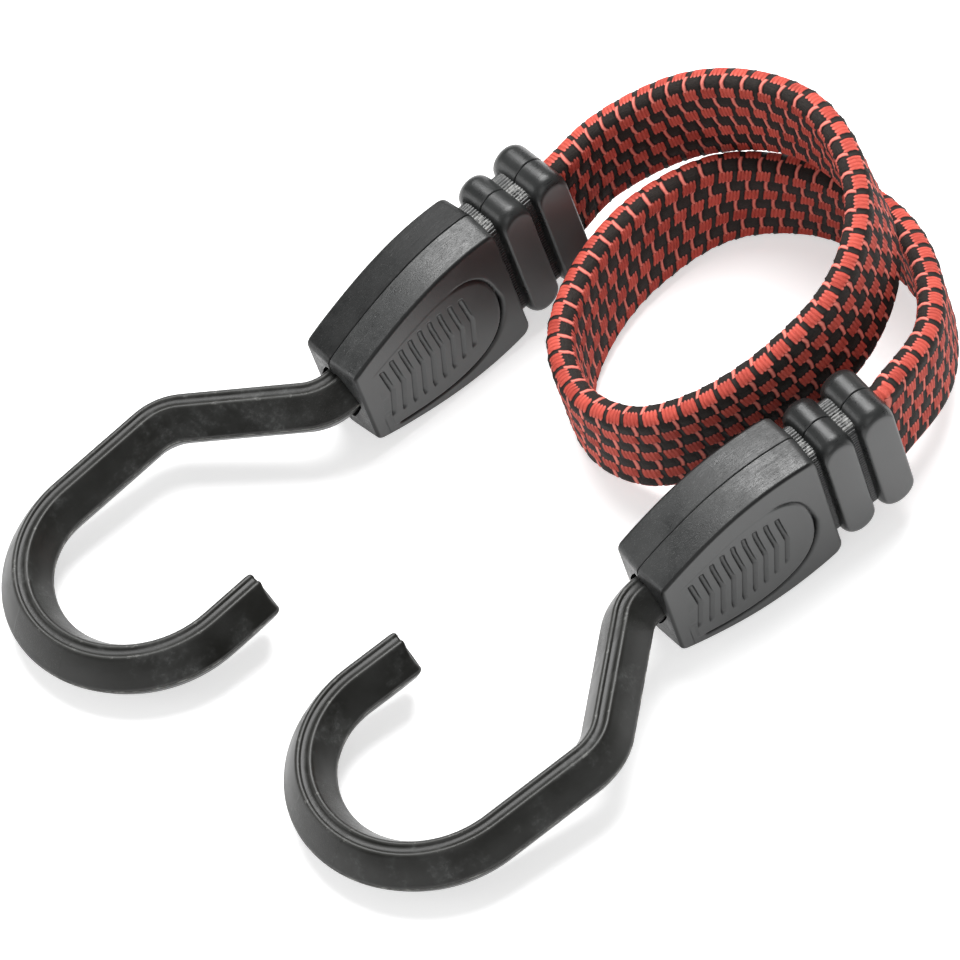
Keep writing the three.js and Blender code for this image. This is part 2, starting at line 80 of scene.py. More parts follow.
# The strap's way between the collars: x, y, height of its middle, lean of its upper edge in degrees
ROUTE = (
    (64.1, 38.0, 18.9, -1),
    (76.4, 32.4, 23.6, -3),
    (84.8, 20.6, 29.4, -5),
    (88.4, 7.4, 32.0, -6),
    (86.1, -6.4, 31.9, -11),
    (79.0, -17.0, 30.0, -12),
    (67.7, -22.9, 26.8, -8),
    (54.7, -22.5, 22.0, -1),
    (42.4, -17.9, 16.7, 3),
    (33.6, -10.3, 12.8, 4),
    (30.9, 0.1, 10.8, 6),
    (35.7, 12.5, 10.1, 6),
    (48.2, 21.4, 10.1, 8),
    (63.5, 25.3, 10.1, 9),
    (77.8, 23.0, 10.1, 3),
    (87.7, 13.1, 10.3, -5),
    (92.1, -1.1, 11.0, -6),
    (89.2, -17.3, 13.4, -6),
    (78.9, -31.0, 15.4, -1),
)

# The strap's places on a fitting's axis
COLLAR_MOUTH = -49.0
STRAP_END = -14.7


# Numbers on their way through material nodes


class Wire:
    """A number in a material's nodes, so that a pattern is written as a sum."""

    def __init__(self, tree, socket):
        self.tree = tree
        self.socket = socket

    def __add__(self, other):
        return combine("ADD", self, other)

    def __radd__(self, other):
        return combine("ADD", other, self)

    def __sub__(self, other):
        return combine("SUBTRACT", self, other)

    def __rsub__(self, other):
        return combine("SUBTRACT", other, self)

    def __mul__(self, other):
        return combine("MULTIPLY", self, other)

    def __rmul__(self, other):
        return combine("MULTIPLY", other, self)

    def __truediv__(self, other):
        return combine("DIVIDE", self, other)


def combine(operation, *values):
    """One Math node on wires and plain numbers."""
    tree = next(value.tree for value in values if isinstance(value, Wire))
    step = tree.nodes.new("ShaderNodeMath")
    step.operation = operation
    for socket, value in zip(step.inputs, values):
        if isinstance(value, Wire):
            tree.links.new(value.socket, socket)
        else:
            socket.default_value = value
    return Wire(tree, step.outputs[0])


def floor(value):
    return combine("FLOOR", value) if isinstance(value, Wire) else np.floor(value)


def size_of(value):
    return combine("ABSOLUTE", value) if isinstance(value, Wire) else np.abs(value)


def cosine(value):
    return combine("COSINE", value) if isinstance(value, Wire) else np.cos(value)


def least(a, b):
    wired = isinstance(a, Wire) or isinstance(b, Wire)
    return combine("MINIMUM", a, b) if wired else np.minimum(a, b)


def most(a, b):
    wired = isinstance(a, Wire) or isinstance(b, Wire)
    return combine("MAXIMUM", a, b) if wired else np.maximum(a, b)


def limited(value):
    """The value, kept between 0 and 1."""
    return least(most(value, 0.0), 1.0)


def rise(value, low, high):
    """0 below low, 1 above high, smooth between; low may be the larger."""
    share = limited((value - low) / (high - low))
    return share * share * (3.0 - 2.0 * share)


def band(value, outer_low, low, high, outer_high):
    """1 between the two inner places, 0 outside the two outer ones, smooth between."""
    return rise(value, outer_low, low) * rise(value, outer_high, high)


def dome(value, fall):
    """1 at zero, falling off with the square of the value, and never below 0."""
    return most(1.0 - value * value * fall, 0.0)


def centred(value):
    """The distance to the nearest whole number, from -0.5 to 0.5."""
    return value - floor(value + 0.5)


# The weave, in repeats along the strap and rows around it, counted from the middle of its upper rim

RED_ROW_SHARE = 0.49
RIM_ROW_EXTRA = 0.06
BAR_HALF = 0.115
RIBS = 4.0
RIB_SCALLOP = 0.09
YARN_EDGE = 0.03
OUTER_SHIFT = 0.5
INNER_SHIFT = 0.2
INNER_LEAD = 0.3
INNER_SLANT = 0.15
STUB_HALF = 0.115
STUB_ROW_SHARE = 0.66
STUB_INNER_LEAD = 0.2
STUB_BOW = 0.06
STUB_SLANT = 0.05
LUMP_FULL_AT = 0.26
LUMP_FALL = 2.6
BLOCK_FALL = 0.75


def weave(along, around):
    """The masks and heights of the woven pattern at a place on the strap.

    Red rows have even numbers and black rows odd ones. Rows above zero are on the strap's outer
    face, where each red row is laid half a repeat further on. On the inner face each row is laid
    a fifth of a repeat further on, with slanted blocks.
    """
    red_row = floor(around / 2.0 + 0.5)
    outer_row = most(red_row, 0.0)
    inner_row = most(0.0 - red_row, 0.0)
    on_inner = least(inner_row, 1.0)
    lead = OUTER_SHIFT * outer_row + INNER_LEAD * on_inner + INNER_SHIFT * inner_row
    across_row = around - 2.0 * red_row
    from_lead = along - lead - INNER_SLANT * across_row * on_inner
    bar = centred(from_lead)
    rib = (size_of(bar) - BAR_HALF) / (1.0 - 2.0 * BAR_HALF) * RIBS
    rib_crown = 0.5 - 0.5 * cosine(rib * (2.0 * math.pi))
    rim_row = 1.0 - least(size_of(red_row), 1.0)
    reach = RED_ROW_SHARE + RIM_ROW_EXTRA * rim_row
    block_end = reach + RIB_SCALLOP * (rib_crown - 0.5)
    in_block = rise(size_of(bar), BAR_HALF, BAR_HALF + YARN_EDGE)
    in_red_row = rise(block_end - size_of(across_row), -YARN_EDGE, 0.05)
    red = in_block * in_red_row

    black_row = floor(around / 2.0)
    outer_black = most(black_row, 0.0)
    inner_black = most(0.0 - black_row, 0.0)
    stub_lead = (
        OUTER_SHIFT + OUTER_SHIFT * outer_black
        + STUB_INNER_LEAD * least(inner_black, 1.0) + INNER_SHIFT * inner_black
    )
    across_black = around - 2.0 * black_row - 1.0
    bow = STUB_BOW * (1.0 - across_black * across_black * 3.0)
    stub = centred(along - stub_lead - STUB_SLANT * across_black + bow)
    from_stub = size_of(stub)
    stub_reach = rise(STUB_ROW_SHARE - size_of(across_black), 0.0, 0.1)
    in_stub = rise(STUB_HALF - from_stub, -0.01, 0.03) * stub_reach * (1.0 - red)

    lump_length = rise(from_stub, STUB_HALF - 0.01, LUMP_FULL_AT)
    return {
        "block": floor(from_lead),
        "red_row": red_row,
        "red": red,
        "rib_crown": rib_crown,
        "toward_end": rise(size_of(across_row), reach - 0.26, reach + 0.02),
        "block_height": dome(across_row / (reach + 0.05), BLOCK_FALL),
        "bar": dome(bar, 1.0 / BAR_HALF**2) * (1.0 - in_block) * (1.0 - in_stub),
        "stub": in_stub,
        "stub_height": dome(stub, 1.0 / STUB_HALF**2),
        "lump": lump_length * dome(across_black, LUMP_FALL) * (1.0 - red) * (1.0 - in_stub),
    }


# Meshes

# Where along a fitting it swells, and where its front and its rear are drawn out
SWELLS = (8.0, 33.0)
FRONT_DRAWN = (-9.0, 0.0)
REAR_DRAWN = (18.0, 32.0)

# The height up to which a sunk piece is drawn together, to stand on the floor
FLOOR_BAND = 6.0

ROD_SIDES = 32


def to_place(end, bm):
    """Lays a bmesh made in a fitting's own frame where that fitting lies, in metres."""
    matrix = (
        Matrix.Scale(MM, 4)
        @ Matrix.Translation((end["x"], end["y"], FRONT_FACE_HEIGHT))
        @ Matrix.Rotation(end["heading"], 4, "Z")
        @ Matrix.Rotation(DIP, 4, "Y")
    )
    bmesh.ops.transform(bm, matrix=matrix, verts=bm.verts)


def keep_mould_places(bm, end):
    """Notes each vertex's place in the fitting's own frame, for the materials to read."""
    layer = bm.verts.layers.float_vector.new("mould")
    for vert in bm.verts:
        vert[layer] = (vert.co.x + end["offset"], vert.co.y, vert.co.z)


def swell_rear(bm, end, lift):
    """Makes a fitting taller towards its collar, and lifts it there."""
    for vert in bm.verts:
        share = rise(-vert.co.x, *SWELLS)
        vert.co.z = vert.co.z * (1 + end["swell"] * share) + lift * share


def draw_out(bm, front, rear):
    """Moves the front and the rear of a fitting's piece outwards along the fitting."""
    for vert in bm.verts:
        x = vert.co.x
        vert.co.x = x + front * rise(x, *FRONT_DRAWN) - rear * rise(-x, *REAR_DRAWN)


def keep_on_floor(bm, sunk):
    """Draws the lowest part of a piece together by the given depth, so that it stands on the floor."""
    top = FLOOR_BAND * MM
    for vert in bm.verts:
        if vert.co.z < top:
            vert.co.z = top - (top - vert.co.z) * top / (top + sunk * MM)


def finish_mesh(name, bm, skin, sharp=math.radians(35)):
    """A shaded object from a bmesh, with its edges smooth below the given angle."""
    mesh = bpy.data.meshes.new(name)
    bm.to_mesh(mesh)
    bm.free()
    mesh.materials.append(skin)
    mesh.polygons.foreach_set("use_smooth", [True] * len(mesh.polygons))
    mesh.set_sharp_from_angle(angle=sharp)
    piece = bpy.data.objects.new(name, mesh)
    bpy.context.scene.collection.objects.link(piece)
    return piece


def temporary(bm):
    """An object that stands for a bmesh while solids are joined or cut."""
    mesh = bpy.data.meshes.new("cutter")
    bm.to_mesh(mesh)
    bm.free()
    piece = bpy.data.objects.new("cutter", mesh)
    bpy.context.scene.collection.objects.link(piece)
    return piece


def joined_with(bm, others, operation):
    """The bmesh after joining it with, or cutting it by, each of the others."""
    base = temporary(bm)
    cutters = [temporary(other) for other in others]
    for cutter in cutters:
        change = base.modifiers.new("change", "BOOLEAN")
        change.operation = operation
        change.solver = "EXACT"
        change.object = cutter
    evaluated = base.evaluated_get(bpy.context.evaluated_depsgraph_get())
    result = bmesh.new()
    result.from_mesh(evaluated.to_mesh())
    for piece in [base, *cutters]:
        mesh = piece.data
        bpy.data.objects.remove(piece)
        bpy.data.meshes.remove(mesh)
    return result


def ring(bm, points):
    """A closed loop of edges through the points."""
    verts = [bm.verts.new(point) for point in points]
    return [bm.edges.new((verts[i], verts[(i + 1) % len(verts)])) for i in range(len(verts))]


def loop_verts(edges):
    """The vertices of a loop of edges, each once, in the order in which the edges meet them."""
    return list(dict.fromkeys(vert for edge in edges for vert in edge.verts))


def push(bm, edges, by=(0, 0, 0)):
    """Extrudes a loop of edges and moves the new one."""
    made = bmesh.ops.extrude_edge_only(bm, edges=edges)["geom"]
    verts = [part for part in made if isinstance(part, bmesh.types.BMVert)]
    bmesh.ops.translate(bm, verts=verts, vec=by)
    new = set(verts)
    return [
        part for part in made
        if isinstance(part, bmesh.types.BMEdge) and new.issuperset(part.verts)
    ]


def turn(bm, edges, centre, angle, steps):
    """Spins a loop of edges round an upright axis."""
    made = bmesh.ops.spin(
        bm, geom=loop_verts(edges) + list(edges), cent=centre, axis=(0, 0, 1),
        angle=angle, steps=steps, use_duplicate=False,
    )["geom_last"]
    return [part for part in made if isinstance(part, bmesh.types.BMEdge)]


def scale_loop(bm, edges, centre, heading, across, up):
    """Scales a loop about a centre, across its heading and upwards."""
    space = Matrix.Translation(centre) @ Matrix.Rotation(heading, 4, "Z")
    bmesh.ops.scale(bm, vec=(1, across, up), space=space.inverted(), verts=loop_verts(edges))


def cap(bm, edges):
    return bmesh.ops.edgeloop_fill(bm, edges=edges)["faces"]


def block(low, high):
    """A box between two corners."""
    bm = bmesh.new()
    bmesh.ops.create_cube(bm, size=1)
    size = [high[k] - low[k] for k in range(3)]
    bmesh.ops.scale(bm, vec=size, verts=bm.verts)
    bmesh.ops.translate(bm, vec=[(high[k] + low[k]) / 2 for k in range(3)], verts=bm.verts)
    return bm


def rod(x, radius, half_length):
    """A cylinder along Y, at a place on the fitting's axis."""
    bm = bmesh.new()
    bmesh.ops.create_cone(
        bm, cap_ends=True, segments=ROD_SIDES, radius1=radius, radius2=radius, depth=2 * half_length,
    )
    bmesh.ops.rotate(bm, cent=(0, 0, 0), matrix=Matrix.Rotation(math.pi / 2, 3, "X"), verts=bm.verts)
    bmesh.ops.translate(bm, vec=(x, 0, 0), verts=bm.verts)
    return bm


def face_out(bm):
    bmesh.ops.recalc_face_normals(bm, faces=bm.faces)


def distances(line):
    """The distance along a line of points to each of them."""
    return np.r_[0, np.cumsum(np.linalg.norm(np.diff(line, axis=0), axis=1))]


# Hook

BAR_HALF_WIDTH = 4.4
BAR_HALF_DEPTH = 5.45
HOOK_START = -4.2
ROOT_RUN = 1.0
KINK = math.radians(43.6)
KINK_RADIUS = 8.0
KINK_STEPS = 14
SHANK_RUN = 20.5
ELBOW_RADIUS = 9.5
ELBOW_STEPS = 16
BOWL_RUN = 18.1
BOWL_RADIUS = 19.5
BOWL_STEPS = 72
TIP_RUN = 10.35
TIP_EDGE = 0.9
TIP_STEPS = 5
TIP_HOLLOW = 0.45
TIP_HOLLOW_LENGTH = 2.0
TIP_REACH = 8.0
TONGUE_REAR = -12.5
TONGUE_HALF_WIDTH = 2.9
TONGUE_HALF_DEPTH = 4.9
EYE_FROM_FRONT = 7.5
EYE_RADIUS = 1.8
EYE_HALF_LENGTH = 6.0
HOOK_SHARP = math.radians(28)


def bar_section():
    """Section of the hook's bar as (across, up), from the parting line up to the groove and round."""
    quarter = [
        (4.5, 0.07), (4.4, 0.13), (4.4, 0.42), (4.33, 0.6), (4.2, 0.82),
        (3.65, 1.85), (3.02, 2.95), (2.4, 3.95), (1.76, 4.85), (1.5, 5.22),
        (1.3, 5.4), (1.1, 5.45), (0.86, 5.44), (0.7, 5.36), (0.58, 5.2), (0.42, 5.12),
    ]
    upper = quarter + [(-across, up) for across, up in reversed(quarter)]
    return upper + [(across, -up) for across, up in reversed(upper)]


def hook_bmesh(kink):
    """The bar swept along its line, with a flat tongue and an eye at its root."""
    bm = bmesh.new()
    section = bar_section()
    edges = ring(bm, [(HOOK_START, across, up) for across, up in section])
    root = list(edges)
    heading = 0.0
    at = Vector((HOOK_START, 0, 0))

    def run(length):
        nonlocal edges, at
        step = Vector((math.cos(heading), math.sin(heading), 0)) * length
        edges = push(bm, edges, step)
        at = at + step

    def bend(radius, angle, steps):
        nonlocal edges, at, heading
        side = math.copysign(1, angle)
        centre = at + Vector((-math.sin(heading), math.cos(heading), 0)) * (side * radius)
        edges = turn(bm, edges, centre, angle, steps)
        heading += angle
        at = centre - Vector((-math.sin(heading), math.cos(heading), 0)) * (side * radius)

    run(ROOT_RUN - HOOK_START)
    bend(KINK_RADIUS, kink * KINK, KINK_STEPS)
    run(SHANK_RUN)
    bend(ELBOW_RADIUS, -kink * KINK, ELBOW_STEPS)
    run(BOWL_RUN)
    bend(BOWL_RADIUS, -kink * math.pi, BOWL_STEPS)
    run(TIP_RUN - TIP_EDGE)
    for k in range(TIP_STEPS):
        before, after = (step / TIP_STEPS * math.pi / 2 for step in (k, k + 1))
        run(TIP_EDGE * (math.sin(after) - math.sin(before)))
        had_inset, inset = (TIP_EDGE * (1 - math.cos(angle)) for angle in (before, after))
        across = (BAR_HALF_WIDTH - inset) / (BAR_HALF_WIDTH - had_inset)
        up = (BAR_HALF_DEPTH - inset) / (BAR_HALF_DEPTH - had_inset)
        scale_loop(bm, edges, at, heading, across, up)
    hollow_tip(bm, at, heading)
    cap(bm, edges)
    tongue = push(bm, root)
    across, up = TONGUE_HALF_WIDTH / BAR_HALF_WIDTH, TONGUE_HALF_DEPTH / BAR_HALF_DEPTH
    scale_loop(bm, tongue, (HOOK_START, 0, 0), 0, across, up)
    cap(bm, push(bm, tongue, (TONGUE_REAR - HOOK_START, 0, 0)))
    face_out(bm)
    return joined_with(bm, [rod(-EYE_FROM_FRONT, EYE_RADIUS, EYE_HALF_LENGTH)], "DIFFERENCE")


def hollow_tip(bm, end, heading):
    """Draws the end face back a little between its upper edge, its middle and its lower edge."""
    ahead = Vector((math.cos(heading), math.sin(heading), 0))
    for vert in bm.verts:
        behind = (end - vert.co).dot(ahead)
        if (vert.co - end).length < TIP_REACH and behind < TIP_HOLLOW_LENGTH:
            from_middle = min(abs(vert.co.z) / BAR_HALF_DEPTH, 1)
            share = math.sin(math.pi * from_middle) * (1 - behind / TIP_HOLLOW_LENGTH)
            vert.co -= ahead * (TIP_HOLLOW * share)


# Housing

HOUSING_LENGTH = 33.0
HOUSING_HALF = 6.5
HOUSING_FRONT = 17.0
HOUSING_REAR = 26.4
HOUSING_BULGE = 2.9
HOUSING_DRAFT = 0.4
HOUSING_EDGE = 0.6
HOUSING_ROWS = 147
HOUSING_SHARP = math.radians(40)
EDGE_STEPS = 5
DRAFT_STEPS = 5
FRONT_CORNER = 0.8
REAR_CORNER = 1.6
SEAM_HALF = 0.06
SEAM_EDGE = 0.12
NARROW_WALL = 1.2
CAVITY_HALF = 5.0
FRONT_DROP = 0.9
FRONT_REACH = 0.6

# How much larger than the hook's bar its window is, and where the window and the rear are cut
WINDOW_ACROSS = 1.13
WINDOW_UP = 1.09
WINDOW_CUT = (-3, 1)
REAR_CUT = ((-34, -1, -12), (-30.5, CAVITY_HALF, 12))

# The raised pad and the groove round it
PAD_RISE = 0.24
PAD_FLANK = 0.22
PAD_GROOVE = 0.65
PAD_FRONT = 3.8
PAD_REAR = 28.9
PAD_UPPER_LOSS = 0.8
GROOVE_UPPER_SHARE = 0.55
# How strongly the groove is darkened with painted shade
GROOVE_DARKNESS = 1.4
TALLEST = 14.226

# The kinked slots: their row along the housing, their reach up and down, and their walls
SLOT_COUNT = 9
SLOT_PITCH = 2.22
SLOT_FIRST = 5.1
SLOT_KINK = 0.62
SLOT_KINK_LOW = 1.35
SLOT_KINK_AT = -0.45
SLOT_HALF = 0.5
SLOT_DEPTH = 0.72
SLOT_TOP = 4.9
SLOT_TOP_CLIMB = 0.6
SLOT_LOW = 5.9
SLOT_ARCH = 1.5
SLOT_REACH = 5.6
SLOT_FRONT_WALL = 0.38
SLOT_REAR_WALL = -0.42

# The mesh's columns: before the slots, at each slot, and behind them
FRONT_COLUMNS = (*np.linspace(0, 0.9, 7), *np.linspace(1.1, 2.9, 9))
SLOT_COLUMNS = (-1.0, -0.78, -0.58, -0.5, -0.42, -0.34, -0.24, 0, 0.2, 0.3, 0.38, 0.44, 0.5, 0.6, 0.8)
REAR_COLUMNS = 34
REAR_GAP = 0.18
CORNER_COLUMNS = 9
CORNER_BEGINS = 1.55

# Where the columns begin and cease to lean with the slots, from the front
LEAN_BEGINS = (2.6, 4.2)
LEAN_ENDS = (30.6, 27.6)


def corner_drop(from_end, radius):
    """How far a rounded corner lies below the edge that it rounds."""
    inner = np.clip(radius - from_end, 0, radius)
    return radius - np.sqrt(np.maximum(radius**2 - inner**2, 0))


def half_height(x, inset):
    """Half the housing's height at a place along it, with rounded corners, set in all round."""
    along = -x / HOUSING_LENGTH
    slope = (HOUSING_REAR - HOUSING_FRONT) / 2
    height = HOUSING_FRONT / 2 + slope * along + HOUSING_BULGE * 4 * along * (1 - along) - inset
    height = height - corner_drop(-x - inset, FRONT_CORNER)
    return height - corner_drop(x + HOUSING_LENGTH - inset, REAR_CORNER)


def level(x, v, inset):
    """Height of a place on the outline, v being 1 above and -1 below, where the front drops further."""
    drop = FRONT_DROP * np.clip(1 + x / HOUSING_LENGTH, 0, 1) * (np.asarray(v) < 0)
    return v * (half_height(x, inset) + drop)


def outline_place(u, v, inset):
    """A place on the side face, from shares along and up, set in from the outline."""
    x = -inset - (HOUSING_LENGTH - 2 * inset) * u
    return x, level(x, v, inset)


def bezier(points, count):
    """Points on a curve that four points shape."""
    share = np.linspace(0, 1, count)[:, None]
    a, b, c, d = (np.array(point, float) for point in points)
    rest = 1 - share
    return a * rest**3 + 3 * b * rest**2 * share + 3 * c * rest * share**2 + d * share**3


def pad_outline():
    """The raised pad's outline in the housing's x and z."""
    top, tip, foot = (0, 0.41), (1, -0.04), (0, -0.59)
    upper = bezier([top, (0.45, 0.64), (0.99, 0.91), tip], 60)
    lower = bezier([tip, (1, -0.76), (0.52, -0.9), foot], 60)
    front = np.linspace(foot, top, 30)
    shares = np.vstack([upper, lower[1:], front[1:-1]])
    x = -(PAD_FRONT + (PAD_REAR - PAD_FRONT) * shares[:, 0])
    return np.column_stack([x, shares[:, 1] * TALLEST])


def inside_distance(x, z, outline):
    """Distance to an outline, positive inside it."""
    run = np.roll(outline, -1, axis=0) - outline
    nearest = np.full(x.shape, 1e9)
    crossings = np.zeros(x.shape, int)
    for (ax, az), (dx, dz) in zip(outline, run):
        share = np.clip(((x - ax) * dx + (z - az) * dz) / (dx**2 + dz**2), 0, 1)
        gap = (x - ax - share * dx) ** 2 + (z - az - share * dz) ** 2
        nearest = np.minimum(nearest, gap)
        if dz != 0:
            height = (z - az) / dz
            crossings += (height >= 0) & (height < 1) & (x < ax + height * dx)
    return np.where(crossings % 2 == 1, 1, -1) * np.sqrt(nearest)


def slot_line(z):
    """How far the slots lean forwards at a height."""
    from_kink = z - SLOT_KINK_AT
    lean = np.where(from_kink > 0, SLOT_KINK, SLOT_KINK_LOW)
    return lean * np.minimum(np.abs(from_kink) / SLOT_REACH, 1)


def pad_relief(x, z):
    """How far the pad stands out at a place, and the groove's share of its full depth there.

    The pad runs out into the face along the front of its upper side, and has a groove below and behind.
    """
    inside = inside_distance(x, z, pad_outline())
    below = rise(z, 2.0, -2.0)
    fade = 1 - PAD_UPPER_LOSS * rise(z, -8.0, 6.0)
    pad = PAD_RISE * rise(inside, -PAD_FLANK / 2, PAD_FLANK / 2) * fade
    upper_front = rise(z, -1.5, 1.0) * rise(x, -25.5, -21.0)
    grooved = (GROOVE_UPPER_SHARE + (1 - GROOVE_UPPER_SHARE) * below) * (1 - upper_front)
    width = 0.15 + 0.17 * below + 0.1 * rise(x, -14.0, -23.0)
    groove = grooved * rise(x, -4.4, -5.6) * np.exp(-(((inside + width) / width) ** 2))
    return pad, groove


def slot_relief(x, z, number):
    """How deep one slot is at a place, and how much painted shade lies on its walls and at its upper
    end.
    """
    along = number / (SLOT_COUNT - 1)
    arch = SLOT_ARCH * 4 * along * (1 - along)
    top = SLOT_TOP + arch + SLOT_TOP_CLIMB * along
    low = -(SLOT_LOW + arch)
    off = x + SLOT_FIRST + SLOT_KINK + SLOT_PITCH * number - slot_line(z)
    reach = np.hypot(off, np.maximum(z - top, 0))
    trough = rise(reach, SLOT_HALF, SLOT_HALF - 0.2)
    ramp = np.clip((off + SLOT_HALF) / (2 * SLOT_HALF), 0, 1) * rise(off, SLOT_HALF, SLOT_HALF - 0.12)
    upper = rise(z, -0.5, 1.5)
    ends = rise(z, low, low + 0.8) * rise(z, top + 0.6, top)
    depth = SLOT_DEPTH * (ramp * (1 - 0.3 * upper) + 0.3 * trough * upper) * ends
    # Painted shade on the slot's walls and round its upper end
    front_wall = rise(size_of(off - SLOT_FRONT_WALL), 0.22, 0.08)
    rear_wall = rise(size_of(off - SLOT_REAR_WALL), 0.16, 0.06) * rise(z, 1.0, top - 0.5) * 0.5
    crown = rise(size_of(z - top), 0.5, 0.2) * rise(reach, SLOT_HALF, SLOT_HALF - 0.15) * 0.6
    return depth, np.maximum(np.maximum(front_wall, rear_wall) * ends, crown)


def side_relief(x, z):
    """How far the broad face stands out at a place, and how much painted shade lies there in its grooves
    and slots.
    """
    pad, groove = pad_relief(x, z)
    height = pad - PAD_GROOVE * groove
    # Painted shade in the groove round the pad, then in the slots
    painted_shade = np.minimum(groove * GROOVE_DARKNESS, 1)
    for number in range(SLOT_COUNT):
        depth, dark = slot_relief(x, z, number)
        height = height - depth
        painted_shade = np.maximum(painted_shade, dark)
    return height, painted_shade


def housing_columns():
    """Shares along the housing, close together at the corners and at the slots' walls."""
    inset = HOUSING_DRAFT + HOUSING_EDGE
    places = list(FRONT_COLUMNS)
    for number in range(SLOT_COUNT):
        middle = SLOT_FIRST + SLOT_KINK + SLOT_PITCH * number - inset
        places += [middle + offset for offset in SLOT_COLUMNS]
    end = HOUSING_LENGTH - 2 * inset
    rear_ends = end - CORNER_BEGINS - 0.15
    places += list(np.linspace(max(places) + REAR_GAP, rear_ends, REAR_COLUMNS))
    places += list(np.linspace(end - CORNER_BEGINS, end, CORNER_COLUMNS))
    return np.array(sorted(places)) / end


def housing_levels(inset):
    """The shell's rings from its broad face inwards: how far each is set in, and its place across."""
    levels = []
    for k in range(1, EDGE_STEPS + 1):
        angle = k / EDGE_STEPS * math.pi / 2
        y = HOUSING_HALF - HOUSING_EDGE * (1 - math.cos(angle))
        levels.append((inset - HOUSING_EDGE * math.sin(angle), y))
    side_top = HOUSING_HALF - HOUSING_EDGE
    for k in range(1, DRAFT_STEPS + 1):
        fall = k / DRAFT_STEPS
        levels.append((HOUSING_DRAFT * (1 - fall), side_top + (SEAM_HALF + SEAM_EDGE - side_top) * fall))
    return levels + [(SEAM_EDGE, SEAM_HALF), (NARROW_WALL, SEAM_HALF), (NARROW_WALL, CAVITY_HALF)]


def housing_bmesh():
    """The near half shell: a shaped grid for the broad face, walls round it, and its cavity."""
    columns = housing_columns()
    rows = np.linspace(-1, 1, HOUSING_ROWS)
    inset = HOUSING_DRAFT + HOUSING_EDGE
    bm = bmesh.new()
    share = bm.verts.layers.float_vector.new("share")
    grid = bmesh.ops.create_grid(bm, x_segments=len(columns) - 1, y_segments=len(rows) - 1, size=1)
    verts = grid["verts"]
    flat = np.array([vert.co[:2] for vert in verts])
    u = columns[np.rint((flat[:, 0] + 1) / 2 * (len(columns) - 1)).astype(int)]
    v = rows[np.rint((flat[:, 1] + 1) / 2 * (len(rows) - 1)).astype(int)]
    x, z = outline_place(u, v, inset)
    shifted = x + slot_line(z) * rise(-x, *LEAN_BEGINS) * rise(-x, *LEAN_ENDS)
    z = level(shifted, v, inset)
    y = HOUSING_HALF + side_relief(shifted, z)[0]
    for vert, place, along, up in zip(verts, zip(shifted, y, z), u, v):
        vert.co = place
        vert[share] = (along, up, 0)
    edges = [edge for edge in bm.edges if edge.is_boundary]
    for level_inset, level_y in housing_levels(inset):
        edges = push(bm, edges)
        for vert in loop_verts(edges):
            x, z = outline_place(vert[share][0], vert[share][1], level_inset)
            vert.co = (x, level_y, z)
    cap(bm, edges)
    face_out(bm)
    widened = [(across * WINDOW_ACROSS, up * WINDOW_UP) for across, up in bar_section()]
    return joined_with(bm, [prism(widened, *WINDOW_CUT), block(*REAR_CUT)], "DIFFERENCE")


def keep_painted_shade(bm, dull):
    """Notes the painted shade at each place of the broad faces: in grooves and slots, and on the rounded
    rim.

    A half shell that lies in shade gets painted shade all over by the given share.
    """
    layer = bm.verts.layers.float.new("painted_shade")
    places = np.array([vert.co for vert in bm.verts])
    x, z, off_middle = places[:, 0], places[:, 2], np.abs(places[:, 1])
    painted_shade = side_relief(x, z)[1] * rise(off_middle, 5.6, 5.9)
    from_ends = np.minimum(-x, x + HOUSING_LENGTH)
    edge_height = level(np.clip(x, -HOUSING_LENGTH, 0), np.where(z < 0, -1, 1), 0)
    from_outline = np.minimum(from_ends, np.abs(edge_height - z))
    # Painted shade on the rounded rim, where the broad face turns into the narrow ones
    rim = rise(from_outline, 1.0, 0.7) * rise(off_middle, 5.95, 6.15) * 0.75
    # Each place keeps at least the painted shade laid over a shaded half shell
    for vert, share in zip(bm.verts, np.maximum(painted_shade, rim)):
        vert[layer] = max(share, dull)


# Collar

SLOT_HALF_THICKNESS = 2.7
SLOT_HALF_HEIGHT = 10.6
NECK_HALF_THICKNESS = 4.7
NECK_HALF_HEIGHT = 11.2
NECK_CORNER = 2.2
NECK_REAR = -44.0
NECK_FRONT = -30.2
FLANGE_FRONT = -27.2
FLANGE_REAR = -30.7
FLANGE_HALF_HEIGHT = 12.4
COLLAR_SHARP = math.radians(32)

# Each rib's front face and width
RIBS_AT = ((-34.2, 6.6), (-42.0, 7.0))
RIB_HALF_HEIGHT = 12.9
RIB_PANEL_HALF_HEIGHT = 10.9
RIB_HALF_THICKNESS = 6.4
RIB_CROWN_HALF = 4.1
RIB_EDGE = 0.85
RIB_ROUND_STEPS = 16
RIB_CROWN_STEPS = 9

KNURL_PITCH = 0.62
KNURL_DEPTH = 0.14
KNURL_TOOTH = (0, 0.2, 1, 0.2)
KNURL_CORNER_STEPS = 10

# What is cut from the joined collar: the strap's slot, and all that lies past the seam
STRAP_CUT = (
    (-60, -SLOT_HALF_THICKNESS, -SLOT_HALF_HEIGHT),
    (-20, SLOT_HALF_THICKNESS, SLOT_HALF_HEIGHT),
)
FAR_SIDE_CUT = ((-60, -20, -30), (-20, SEAM_HALF, 30))


def rounded_rectangle(half_across, half_up, radius, steps=6):
    """The points round a rectangle with rounded corners, as (across, up)."""
    points = []
    for sign_across, sign_up, quarter in ((1, 1, 0), (-1, 1, 1), (-1, -1, 2), (1, -1, 3)):
        for k in range(steps + 1):
            angle = (quarter + k / steps) * math.pi / 2
            points.append((
                sign_across * (half_across - radius) + radius * math.cos(angle),
                sign_up * (half_up - radius) + radius * math.sin(angle),
            ))
    return points


